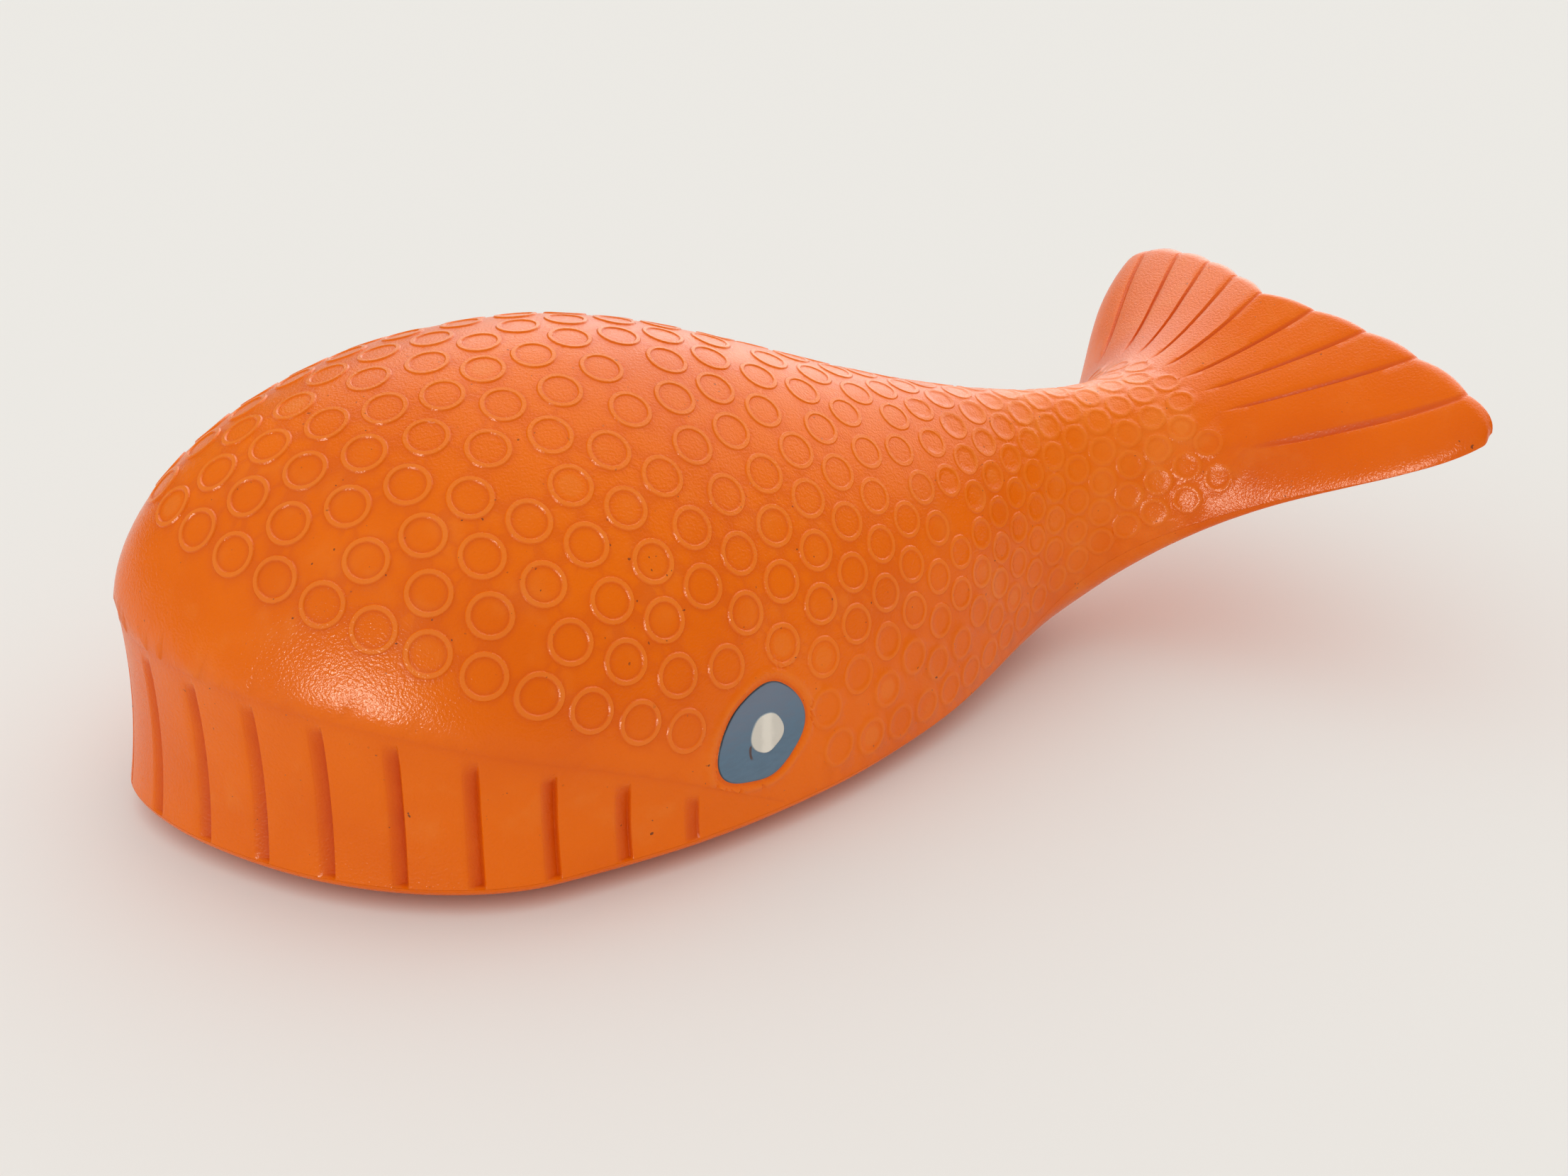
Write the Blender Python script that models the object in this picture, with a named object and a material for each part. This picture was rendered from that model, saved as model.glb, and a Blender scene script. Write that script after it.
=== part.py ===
"""Celluloid fish rattle: two moulded half shells, joined edge to edge, with loose pellets inside.

The nose points to -X, the tail fluke to +X, and the flat belly rests on Z = 0.
Places along the body are measured from the nose.
"""

import bmesh
import bpy
import numpy as np

MM = 0.001

# Plan of the body and the fluke
LENGTH = 166.6 * MM
HEAD_WIDTH = 78.7 * MM
WIDEST_AT = 38.9 * MM
NOSE_POWER = 1.72
FLANK_WIDTH = 59.4 * MM
TAPER_WIDTH = 37.0 * MM
STOCK_WIDTH = 23.4 * MM
FLUKE_LENGTH = 29.4 * MM
FLUKE_SPAN = 82.2 * MM
FLUKE_ROOT_WIDTH = 51.4 * MM
FLUKE_SWEEP = 6.3 * MM
FLUKE_TIP_ROUND = 1.2 * MM

# Heights of the back line, from the table
BACK_HEIGHT = 54.4 * MM
BACK_HIGHEST_AT = 50.8 * MM
FOREHEAD_POWER = 1.94
SADDLE_HEIGHT = 44.0 * MM
STOCK_TOP = 35.8 * MM
FLUKE_ROOT_TOP = 38.0 * MM
FLUKE_TOP = 47.6 * MM

# Heights of the seam between the two shells
RIM_HEIGHT = 3.3 * MM
SEAM_TUCK_HEIGHT = 4.9 * MM
SEAM_STOCK_HEIGHT = 15.0 * MM
SEAM_ROOT_HEIGHT = 26.9 * MM
SEAM_TIP_HEIGHT = 38.6 * MM
FLUKE_ARCH = 7.0 * MM

# Heights of the underside
FLAT_LENGTH = 80.0 * MM
TUCK_HEIGHT = 2.2 * MM
STOCK_BOTTOM = 7.0 * MM
FLUKE_ROOT_BOTTOM = 23.6 * MM
FLUKE_EDGE_THICKNESS = 4.0 * MM
FLUKE_EDGE_ROUND = 1.6 * MM
BELLY_CORNER = 12.0 * MM

# Roundness of the back's cross-sections: near 1 slopes evenly, above 2 is boxy
NOSE_SECTION_POWER = 1.12
STOCK_SECTION_POWER = 2.41
FLUKE_SECTION_DIP = 1.0

# Grooved band round the head, under the brow
BROW_HEIGHT = 25.0 * MM
BROW_LENGTH = 70.0 * MM
BROW_LIP = 0.55 * MM
BROW_ROLL = 2.5 * MM
CHIN = 1.4 * MM
CHIN_ROWS = 0.45
BAND_COVE = 0.75 * MM
BAND_LENGTH = 80.0 * MM
GROOVE_PITCH = 8.65 * MM
GROOVE_WIDTH = 1.5 * MM
GROOVE_STEP = 0.35 * MM
GROOVE_DEPTH = 0.5 * MM

# Rays of the fluke
RAYS_EACH_SIDE = 4
RAY_OUTERMOST = 0.885
RAY_GATHER = 0.22
RAY_WIDTH = 1.1 * MM
RAY_DEPTH = 0.5 * MM
RAY_LENGTH = 17.0 * MM
SCALLOP = 0.5 * MM

# Walls, seam and the loose pellets
WALL = 1.2 * MM
SEAM_GAP = 0.3 * MM
FLUKE_LAND = 5.0 * MM
HOLLOW_EDGE = 0.4 * MM
PELLETS = 9
PELLET_DIAMETER = 5.0 * MM
PELLET_REST_GAP = 0.3 * MM
PELLET_EDGE_GAP = 1.5 * MM
PELLETS_AT = 46.0 * MM
PELLET_STAGGER = 5.0 * MM

# How finely curves are divided
EDGE_COLUMNS = 5
BAND_COLUMNS = 4
PLAIN_COLUMNS = 9
NOSE_ROWS = 13
FLANK_ROWS = 14
FLUKE_ROWS = 12
PELLET_SIDES = 12
SHARP_ANGLE = np.radians(40)
WELD = 0.001 * MM
APART = 1e-6

# Colours and finish
CELLULOID = (0.76, 0.145, 0.012, 1.0)
PELLET_COLOUR = (0.72, 0.58, 0.36, 1.0)
CELLULOID_ROUGHNESS = 0.32
PELLET_ROUGHNESS = 0.6

# Places that follow from the sizes above
NOTCH_AT = LENGTH - FLUKE_SWEEP
STOCK_AT = NOTCH_AT - FLUKE_LENGTH
ROOT_AT = STOCK_AT + FLUKE_LENGTH / 2
FLANK_AT = (WIDEST_AT + STOCK_AT) / 2
TAPER_AT = (FLANK_AT + STOCK_AT) / 2
SADDLE_AT = (BACK_HIGHEST_AT + STOCK_AT) / 2
TUCK_AT = (FLAT_LENGTH + STOCK_AT) / 2
MIDDLE_AT = (LENGTH + BROW_LIP - CHIN) / 2
FLUKE_BOTTOM = FLUKE_TOP - FLUKE_EDGE_THICKNESS
HALF_PI = np.pi / 2


def spline(stations, start_slope=None, end_slope=None):
    """A smooth curve through (place, value) stations. An end without a slope runs out straight."""
    places, values = np.array(stations, float).T
    steps = np.diff(places)
    rises = np.diff(values) / steps
    count = len(places)
    matrix = np.zeros((count, count))
    right = np.zeros(count)
    for i in range(1, count - 1):
        matrix[i, i - 1 : i + 2] = 1 / steps[i - 1], 2 / steps[i - 1] + 2 / steps[i], 1 / steps[i]
        right[i] = 3 * (rises[i - 1] / steps[i - 1] + rises[i] / steps[i])
    matrix[0, :2], right[0] = (2, 1), 3 * rises[0]
    matrix[-1, -2:], right[-1] = (1, 2), 3 * rises[-1]
    if start_slope is not None:
        matrix[0, :2], right[0] = (1, 0), start_slope
    if end_slope is not None:
        matrix[-1, -2:], right[-1] = (0, 1), end_slope
    slopes = np.linalg.solve(matrix, right)

    def curve(place):
        place = np.clip(place, places[0], places[-1])
        i = np.clip(np.searchsorted(places, place) - 1, 0, count - 2)
        t = (place - places[i]) / steps[i]
        start = values[i] * (1 + 2 * t) * (1 - t) ** 2 + slopes[i] * steps[i] * t * (1 - t) ** 2
        end = values[i + 1] * t**2 * (3 - 2 * t) + slopes[i + 1] * steps[i] * t**2 * (t - 1)
        return start + end

    return curve


def ramp(value, start, end):
    """0 before start, 1 after end, and an even S between them."""
    t = np.clip((value - start) / (end - start), 0, 1)
    return t * t * (3 - 2 * t)


flank_curve = spline(
    [
        (WIDEST_AT, HEAD_WIDTH / 2),
        (FLANK_AT, FLANK_WIDTH / 2),
        (TAPER_AT, TAPER_WIDTH / 2),
        (STOCK_AT, STOCK_WIDTH / 2),
        (ROOT_AT, FLUKE_ROOT_WIDTH / 2),
        (NOTCH_AT, FLUKE_SPAN / 2),
    ],
    start_slope=0,
    end_slope=0,
)
back_curve = spline(
    [
        (BACK_HIGHEST_AT, BACK_HEIGHT),
        (SADDLE_AT, SADDLE_HEIGHT),
        (STOCK_AT, STOCK_TOP),
        (ROOT_AT, FLUKE_ROOT_TOP),
        (NOTCH_AT, FLUKE_TOP),
    ],
    start_slope=0,
)
seam_curve = spline(
    [
        (BROW_LENGTH, RIM_HEIGHT),
        (TUCK_AT, SEAM_TUCK_HEIGHT),
        (STOCK_AT, SEAM_STOCK_HEIGHT),
        (ROOT_AT, SEAM_ROOT_HEIGHT),
        (NOTCH_AT, SEAM_TIP_HEIGHT),
    ],
    start_slope=0,
)
belly_curve = spline(
    [
        (FLAT_LENGTH, 0),
        (TUCK_AT, TUCK_HEIGHT),
        (STOCK_AT, STOCK_BOTTOM),
        (ROOT_AT, FLUKE_ROOT_BOTTOM),
        (NOTCH_AT, FLUKE_BOTTOM),
    ],
    start_slope=0,
)


def outline(row, inset=0.0):
    """Place and half-width of a row. Rows 0 to 1 run round the nose, 1 to 2 on to the fluke's notch."""
    row, inset = np.broadcast_arrays(row, inset)
    turn = np.clip(row, 0, 1) * HALF_PI
    nose_at = WIDEST_AT - (WIDEST_AT - inset) * np.cos(turn) ** (2 / NOSE_POWER)
    nose_half = (HEAD_WIDTH / 2 - inset) * np.sin(turn) ** (2 / NOSE_POWER)
    flank_at = WIDEST_AT + (np.maximum(row, 1) - 1) * (NOTCH_AT - WIDEST_AT)
    tip = ramp(flank_at, NOTCH_AT - FLUKE_EDGE_ROUND, NOTCH_AT) * FLUKE_TIP_ROUND
    flank_half = flank_curve(flank_at) - inset - tip
    return np.where(row < 1, nose_at, flank_at), np.where(row < 1, nose_half, flank_half)


def row_at(place):
    """The row number of a place behind the widest section."""
    return 1 + (place - WIDEST_AT) / (NOTCH_AT - WIDEST_AT)


def along_fluke(place):
    """0 at the tail stock, 1 at the fluke's notch."""
    return np.clip((place - STOCK_AT) / FLUKE_LENGTH, 0, 1)


def edge_round(place):
    """1 along the body, falling to 0 in a quarter ellipse at the fluke's edge."""
    t = np.clip((place - NOTCH_AT + FLUKE_EDGE_ROUND) / FLUKE_EDGE_ROUND, 0, 1)
    return np.sqrt(1 - t * t)


def back_height(place, inset=0.0):
    """The back line, from the brow at the nose to the fluke's notch."""
    reach = np.clip((BACK_HIGHEST_AT - place) / (BACK_HIGHEST_AT - inset), 0, 1)
    rise = (1 - reach**FOREHEAD_POWER) ** (1 / FOREHEAD_POWER)
    nose = BROW_HEIGHT + (BACK_HEIGHT - inset - BROW_HEIGHT) * rise
    return np.where(place < BACK_HIGHEST_AT, nose, back_curve(place) - inset)


def brow_height(place):
    """The crease above the grooved band, which runs down to the seam below the eye."""
    reach = np.clip(place / BROW_LENGTH, 0, 1)
    return RIM_HEIGHT + (BROW_HEIGHT - RIM_HEIGHT) * (1 - reach**2)


def brow_fade(place):
    """1 round the nose, 0 where the brow has run out."""
    return 1 - ramp(place, BROW_LENGTH * 0.6, BROW_LENGTH)


def section_rise(place, angle):
    """Share of the section's height at an angle over its width, 0 at either rim and 1 on top."""
    share = np.clip(place / STOCK_AT, 0, 1)
    dip = FLUKE_SECTION_DIP * 4 * along_fluke(place) * (1 - along_fluke(place))
    power = NOSE_SECTION_POWER + (STOCK_SECTION_POWER - NOSE_SECTION_POWER) * share - dip
    return np.sin(angle) ** (2 / power)


def parting(place, angle):
    """Height of the surface that parts the two shells: level across the body, arched in the fluke."""
    arch = FLUKE_ARCH * along_fluke(place) ** 2
    return seam_curve(place) + arch * section_rise(place, angle)


def face_angle(row, half):
    """Angle over the rim's width of a point this far from the middle."""
    _, rim = outline(row, rim_inset(row))
    return np.arccos(np.clip(half / max(rim, WALL), 0, 1))


def belly_corner(place, half, wall):
    """Width of the belly's rounded corner: it takes the whole half section at the tail stock."""
    share = ramp(place, FLAT_LENGTH * 0.75, STOCK_AT)
    return np.minimum(BELLY_CORNER - wall + (half - BELLY_CORNER + wall) * share, half)


def swept(place, across):
    """Where a point of the fluke lies once its lobes are swept back from the notch."""
    bow = 1 - (1 - np.abs(across)) ** 2
    return place + FLUKE_SWEEP * along_fluke(place) ** 1.5 * bow


def scalloped(place, across):
    """The place drawn in at the rays, so that the fluke's edge bulges between them."""
    cusp = 1 - np.abs(np.sin(np.pi * RAYS_EACH_SIDE * across / RAY_OUTERMOST))
    return place - SCALLOP * along_fluke(place) ** 6 * cusp * (np.abs(across) < 1)


def point(place, y, height):
    """A point in the part's own frame, whose origin is under the middle of the length."""
    return (float(place) - MIDDLE_AT, float(y), float(height))


def brow_inset(row):
    """How far the crease under the brow stands inside the widest line of the head."""
    place, _ = outline(row)
    return BROW_LIP * brow_fade(place)


def rim_inset(row):
    """The same for the rim, which juts out as a chin under the nose."""
    return brow_inset(row) - CHIN * (1 - ramp(row, 0, CHIN_ROWS))


def core_inset(row):
    """How far the hollow stands inside the widest line: the wall, the band's depth and the fluke's land."""
    place, _ = outline(row)
    band = (BROW_LIP + BAND_COVE + GROOVE_DEPTH) * brow_fade(place)
    return WALL + band + FLUKE_LAND * along_fluke(place)


def groove_rows():
    """Rows of the band's grooves, each as (soft edge, bottom, sharp edge), evenly pitched round the head."""
    fine = np.concatenate([np.linspace(0, 1, 400), np.linspace(1, row_at(STOCK_AT), 400)[1:]])
    place, half = outline(fine)
    run = np.concatenate([[0], np.cumsum(np.hypot(np.diff(place), np.diff(half)))])
    for i in range(int(BAND_LENGTH / GROOVE_PITCH) + 1):
        middle = i * GROOVE_PITCH
        edges = (middle - GROOVE_WIDTH, middle, middle + GROOVE_STEP)
        yield [float(np.interp(max(edge, 0), run, fine)) for edge in edges]


def fluke_rows():
    """Rows from the tail stock to the notch, closer together towards the rounded edge."""
    t = np.linspace(0, 1, FLUKE_ROWS + 1)[1:]
    return row_at(STOCK_AT + FLUKE_LENGTH * (1 - (1 - t) ** 1.7))


def back_rows():
    """Rows of the back shell, each with the groove's depth there as a share."""
    rows = {row_at(BROW_LENGTH): 0}
    grooves = list(groove_rows())
    for soft, bottom, sharp in grooves:
        rows[soft] = rows[sharp] = 0
        rows[bottom] = 1
    for before, after in zip(grooves, grooves[1:]):
        rows[(before[2] + after[0]) / 2] = 0
    for row in np.linspace(max(rows), row_at(STOCK_AT), FLANK_ROWS)[1:]:
        rows[float(row)] = 0
    for row in fluke_rows():
        rows[float(row)] = 0
    return sorted(rows.items())


def plain_rows(end):
    """Rows without grooves, from the nose to a place in the fluke."""
    nose = np.linspace(0, 1, NOSE_ROWS)
    flank = np.linspace(1, row_at(STOCK_AT), FLANK_ROWS)[1:]
    fluke = row_at(STOCK_AT) + (fluke_rows() - row_at(STOCK_AT)) * (end - STOCK_AT) / FLUKE_LENGTH
    return np.concatenate([nose, flank, fluke])


def shell_columns(place):
    """Places across a shell, from rim (-1) to rim (1). The fluke adds both edges of every ray."""
    rays = np.linspace(-RAY_OUTERMOST, RAY_OUTERMOST, 2 * RAYS_EACH_SIDE + 1)
    shoulder = RAY_WIDTH / FLUKE_SPAN
    edge = np.cos(np.linspace(0, np.arccos(RAY_OUTERMOST + shoulder), EDGE_COLUMNS + 1)[:-1])
    columns = [*rays, *(rays[1:] + rays[:-1]) / 2, *edge, *-edge]
    if place > STOCK_AT:
        columns += [*(rays - shoulder), *(rays + shoulder)]
    return sorted(float(v) for v in columns)


def ray_depth(place, column):
    """Depth of the fluke's rays: they start beyond its root and run out over its edge."""
    count = RAYS_EACH_SIDE * column / RAY_OUTERMOST
    is_ray = abs(column) < 1 and abs(count - round(count)) < 1e-6
    length = ramp(place, NOTCH_AT - RAY_LENGTH, NOTCH_AT - 0.7 * RAY_LENGTH)
    return is_ray * RAY_DEPTH * length * edge_round(place)


def plain_columns():
    """Columns of a plain section, from rim to rim, each as (number, side, angle from that side's rim)."""
    quarter = np.linspace(0, HALF_PI, PLAIN_COLUMNS + 1)
    angles = [(-1, angle) for angle in quarter] + [(1, angle) for angle in quarter[::-1]]
    return [(number, side, angle) for number, (side, angle) in enumerate(angles)]


def gathered(across, place):
    """Rays lie closer to the middle at the root of the fluke than at its edge."""
    share = along_fluke(place)
    return across * (1 - RAY_GATHER * 4 * share * (1 - share) * (1 - across**6))


def back_base(place, angle):
    """Where the domed part of the back starts: at the brow, and behind it at the seam."""
    seam = parting(place, angle) + SEAM_GAP / 2
    return np.maximum(brow_height(place), seam) if place < BROW_LENGTH else seam


def back_point(row, column):
    """A point of the outer skin above the brow and on the fluke."""
    place, _ = outline(row)
    across = gathered(column, place)
    angle = np.arccos(np.abs(across))
    spot = scalloped(place, across)
    base = back_base(spot, angle)
    rise = (back_height(spot) - back_base(spot, HALF_PI)) * edge_round(place) * section_rise(spot, angle)
    roll = brow_inset(row) * np.clip(1 - rise / BROW_ROLL, 0, 1) ** 2
    at, half = outline(row, roll)
    return point(swept(at - place + spot, across), across * half, base + rise - ray_depth(place, column))


def band_point(row, side, share, groove):
    """A point of the coved band between the rim (0) and the brow (1)."""
    place, _ = outline(row)
    cove = BAND_COVE * 4 * share * (1 - share)
    depth = GROOVE_DEPTH * groove * np.sqrt(np.sin(np.pi * min(share, 1 - share)))
    wall = rim_inset(row) + (brow_inset(row) - rim_inset(row)) * share
    at, half = outline(row, wall + (cove + depth) * brow_fade(place))
    low = parting(place, 0) + SEAM_GAP / 2
    return point(swept(at, side), side * half, low + (back_base(place, 0) - low) * share)


def dish_point(row, side, angle, inset, edge, lift, wall):
    """A point of a dished underside, from its rim (angle 0) to its flat (a right angle), without the rays.

    The rim is an upright edge of the given height.
    """
    at, half = outline(row, inset)
    corner = belly_corner(at, half, wall) if row >= 1 else BELLY_CORNER - wall
    place, inner = outline(row, inset + corner * (1 - np.cos(angle)))
    across = side * np.cos(angle)
    spot = scalloped(at, across)
    depth = parting(spot, HALF_PI) + lift - belly_curve(spot) - wall
    depth = edge + (depth - edge) * np.sin(angle)
    level = parting(spot, face_angle(row, inner)) + lift
    return swept(place - at + spot, across), side * inner, level, depth


def belly_point(row, side, column):
    """A point of the outer skin of the belly and of the fluke's underside."""
    place, _ = outline(row)
    angle = np.arccos(np.abs(gathered(column, place)))
    at, y, level, depth = dish_point(row, side, angle, rim_inset(row), 0, -SEAM_GAP / 2, 0)
    return point(at, y, level - depth * edge_round(place) + ray_depth(place, column))


def floor_point(row, side, angle):
    """A point of the lower half of the hollow."""
    at, y, level, depth = dish_point(row, side, angle, core_inset(row), HOLLOW_EDGE, 0, WALL)
    return point(at, y, level - depth)


def ceiling_point(row, side, angle):
    """A point of the upper half of the hollow."""
    at, half = outline(row, core_inset(row))
    across = side * np.cos(angle)
    spot = scalloped(at, across)
    brow = max(brow_height(at) - parting(at, 0), HOLLOW_EDGE)
    rise = (back_height(spot, WALL) - parting(spot, HALF_PI) - brow) * section_rise(spot, angle)
    level = parting(spot, face_angle(row, np.abs(across) * half))
    return point(swept(spot, across), across * half, level + brow + rise)


def face_row(row, columns, inset, lift):
    """A row of the face that one shell turns to the other: from rim to rim, and arched in the fluke."""
    at, half = outline(row, inset)
    made = {}
    for column in columns if at > STOCK_AT else (-1.0, 1.0):
        across = gathered(column, at)
        spot = scalloped(at, across)
        level = parting(spot, np.arccos(np.abs(across))) + lift
        made[column] = point(swept(spot, across), across * half, level)
    return made


def solid(name, skins):
    """An object closed by skins that share their edges.

    A skin is a list of rows, and a row holds its points by column. Columns that two rows share
    bound the faces between them.
    """
    mesh = bmesh.new()
    for rows in skins:
        rings = [{column: mesh.verts.new(p) for column, p in row.items()} for row in rows]
        for a, b in zip(rings, rings[1:]):
            shared = sorted(a.keys() & b.keys())
            for low, high in zip(shared, shared[1:]):
                there = [a[c] for c in sorted(a) if low <= c <= high]
                back = [b[c] for c in sorted(b) if low <= c <= high]
                mesh.faces.new(there + back[::-1])
    bmesh.ops.remove_doubles(mesh, verts=mesh.verts, dist=WELD)
    bmesh.ops.recalc_face_normals(mesh, faces=mesh.faces)
    return finished(name, mesh)


def finished(name, mesh):
    """Puts a mesh into the scene as a smooth object of this name."""
    data = bpy.data.meshes.new(name)
    mesh.to_mesh(data)
    mesh.free()
    data.shade_smooth()
    data.set_sharp_from_angle(angle=SHARP_ANGLE)
    obj = bpy.data.objects.new(name, data)
    bpy.context.scene.collection.objects.link(obj)
    return obj


def material(name, colour, roughness):
    made = bpy.data.materials.new(name)
    made.use_nodes = True
    shader = made.node_tree.nodes["Principled BSDF"]
    shader.inputs["Base Color"].default_value = colour
    shader.inputs["Roughness"].default_value = roughness
    shader.inputs["Metallic"].default_value = 0.0
    return made


def make_back():
    """The back half: brow, grooved band and upper side of the fluke, before it is hollowed."""
    shares = np.linspace(0, 1, BAND_COLUMNS + 1)
    dome, near, far, face = [], [], [], []
    for row, groove in back_rows():
        near.append({share: band_point(row, -1, share, groove) for share in shares})
        far.append({share: band_point(row, 1, share, groove) for share in shares})
        columns = shell_columns(outline(row)[0])
        line = {column: back_point(row, column) for column in columns[1:-1]}
        dome.append({-1.0: near[-1][1], **line, 1.0: far[-1][1]})
        face.append(face_row(row, columns, rim_inset(row), SEAM_GAP / 2))
    return solid("back_shell", [dome, near, far, face])


def make_belly():
    """The belly half: flat bottom, tail stock and underside of the fluke, before it is hollowed."""
    dish, face = [], []
    for row in plain_rows(NOTCH_AT):
        columns = shell_columns(outline(row)[0])
        near = {column - APART: belly_point(row, -1, column) for column in columns if column <= 0}
        far = {column + APART: belly_point(row, 1, column) for column in columns if column >= 0}
        dish.append({**near, **far})
        face.append(face_row(row, columns, rim_inset(row), -SEAM_GAP / 2))
    return solid("belly_shell", [dish, face])


def make_core():
    """The hollow inside both halves, as one body that both are cut by."""
    ceiling, floor = [], []
    for row in plain_rows(NOTCH_AT - FLUKE_LAND):
        columns = plain_columns()
        floor.append({column: floor_point(row, side, angle) for column, side, angle in columns})
        ceiling.append({column: ceiling_point(row, side, angle) for column, side, angle in columns})
    walls = [[{0: c[i], 1: f[i]} for c, f in zip(ceiling, floor)] for i in (0, len(columns) - 1)]
    core = solid("hollow", [ceiling, floor, *walls, [ceiling[-1], floor[-1]]])
    core.hide_render = True
    core.display_type = "WIRE"
    return core


def hollow_out(shell, core):
    cut = shell.modifiers.new("hollow", "BOOLEAN")
    cut.operation = "DIFFERENCE"
    cut.solver = "EXACT"
    cut.object = core


def pellet_places():
    """Rest places of the pellets: side by side in lanes over the flat floor, in two staggered ranks."""
    ranks = (PELLETS_AT - PELLET_STAGGER, PELLETS_AT + PELLET_STAGGER)
    width = min(outline(row_at(place), core_inset(row_at(place)))[1] for place in ranks)
    reach = width - BELLY_CORNER + WALL - PELLET_EDGE_GAP
    for i, y in enumerate(np.linspace(-reach, reach, PELLETS)):
        yield ranks[i % 2], y


def make_pellets():
    height = WALL + PELLET_REST_GAP + PELLET_DIAMETER / 2
    made = []
    for i, (place, y) in enumerate(pellet_places(), 1):
        mesh = bmesh.new()
        bmesh.ops.create_uvsphere(
            mesh, u_segments=PELLET_SIDES, v_segments=PELLET_SIDES // 2, radius=PELLET_DIAMETER / 2
        )
        pellet = finished(f"pellet_{i}", mesh)
        pellet.location = point(place, y, height)
        made.append(pellet)
    return made


def main():
    for obj in list(bpy.data.objects):
        bpy.data.objects.remove(obj)
    core = make_core()
    shells = [make_back(), make_belly()]
    celluloid = material("orange_celluloid", CELLULOID, CELLULOID_ROUGHNESS)
    for shell in shells:
        hollow_out(shell, core)
        shell.data.materials.append(celluloid)
    pellets = make_pellets()
    bead = material("pellet", PELLET_COLOUR, PELLET_ROUGHNESS)
    for pellet in pellets:
        pellet.data.materials.append(bead)
    toy = bpy.data.objects.new("fish_rattle", None)
    bpy.context.scene.collection.objects.link(toy)
    for piece in [core, *shells, *pellets]:
        piece.parent = toy


main()
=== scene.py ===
"""The looks of the celluloid fish rattle, laid out as a Blender add-on.

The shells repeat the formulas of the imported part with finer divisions, so each piece lies where its solid
lies. The nose points to -X and the flat belly rests on Z = 0. Places along the body are measured from the
nose.
"""

import math
from collections import namedtuple

import bmesh
import bpy
import numpy as np
from bpy.props import FloatProperty, FloatVectorProperty, IntProperty, PointerProperty
from mathutils import Matrix, Vector, kdtree, noise
from mathutils.geometry import delaunay_2d_cdt


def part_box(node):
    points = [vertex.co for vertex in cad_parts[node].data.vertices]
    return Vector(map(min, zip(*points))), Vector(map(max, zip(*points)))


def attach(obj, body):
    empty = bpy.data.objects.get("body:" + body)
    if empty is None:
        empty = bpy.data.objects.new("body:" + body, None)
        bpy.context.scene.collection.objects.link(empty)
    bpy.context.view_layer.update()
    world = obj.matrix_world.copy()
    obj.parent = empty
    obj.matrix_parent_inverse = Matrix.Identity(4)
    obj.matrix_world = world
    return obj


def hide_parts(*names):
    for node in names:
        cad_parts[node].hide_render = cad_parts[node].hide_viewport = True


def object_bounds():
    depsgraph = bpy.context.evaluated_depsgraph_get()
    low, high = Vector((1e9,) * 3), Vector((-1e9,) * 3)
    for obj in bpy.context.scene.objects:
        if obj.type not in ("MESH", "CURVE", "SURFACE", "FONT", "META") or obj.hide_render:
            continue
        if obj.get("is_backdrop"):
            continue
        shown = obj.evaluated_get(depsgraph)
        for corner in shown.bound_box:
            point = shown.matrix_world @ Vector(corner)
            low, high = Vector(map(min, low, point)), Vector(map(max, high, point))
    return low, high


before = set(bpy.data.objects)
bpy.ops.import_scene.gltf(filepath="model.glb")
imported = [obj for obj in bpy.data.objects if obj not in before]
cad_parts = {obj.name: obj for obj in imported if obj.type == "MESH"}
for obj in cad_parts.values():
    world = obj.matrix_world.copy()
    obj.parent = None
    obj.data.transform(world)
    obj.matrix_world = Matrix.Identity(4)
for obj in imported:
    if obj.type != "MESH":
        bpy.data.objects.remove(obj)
CAD_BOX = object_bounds()

bl_info = {
    "name": "Celluloid fish rattle",
    "version": (1, 0, 0),
    "blender": (4, 5, 0),
    "location": "3D View > Sidebar > Fish rattle",
    "description": "Builds the shells, painted eyes, pellets and stage of a moulded fish rattle",
    "category": "Object",
}

MM = 0.001
HALF_PI = math.pi / 2
UP = np.array([0.0, 0.0, 1.0])
TAILWARD = np.array([1.0, 0.0, 0.0])
EYE_SEEDS = (-1.46, 0.7)
PUPIL_SEED_STEP = 4
LAND = 0.96
SHARP_ANGLE = math.radians(33)
PHOTO_WIDTH = 2212
SENSOR_WIDTH = 36


def size(name, millimetres, description):
    """A length that a user may change."""
    return FloatProperty(
        name=name, description=description, default=millimetres * MM, unit="LENGTH", precision=5
    )


def number(name, default, description):
    """A plain number that a user may change."""
    return FloatProperty(name=name, description=description, default=default)


def turn(name, degrees, description):
    """An angle that a user may change."""
    return FloatProperty(name=name, description=description, default=math.radians(degrees), unit="ROTATION")


def colour(name, default, description):
    """A colour that a user may change."""
    return FloatVectorProperty(
        name=name, description=description, default=default, size=3, min=0, max=1, subtype="COLOR"
    )


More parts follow.
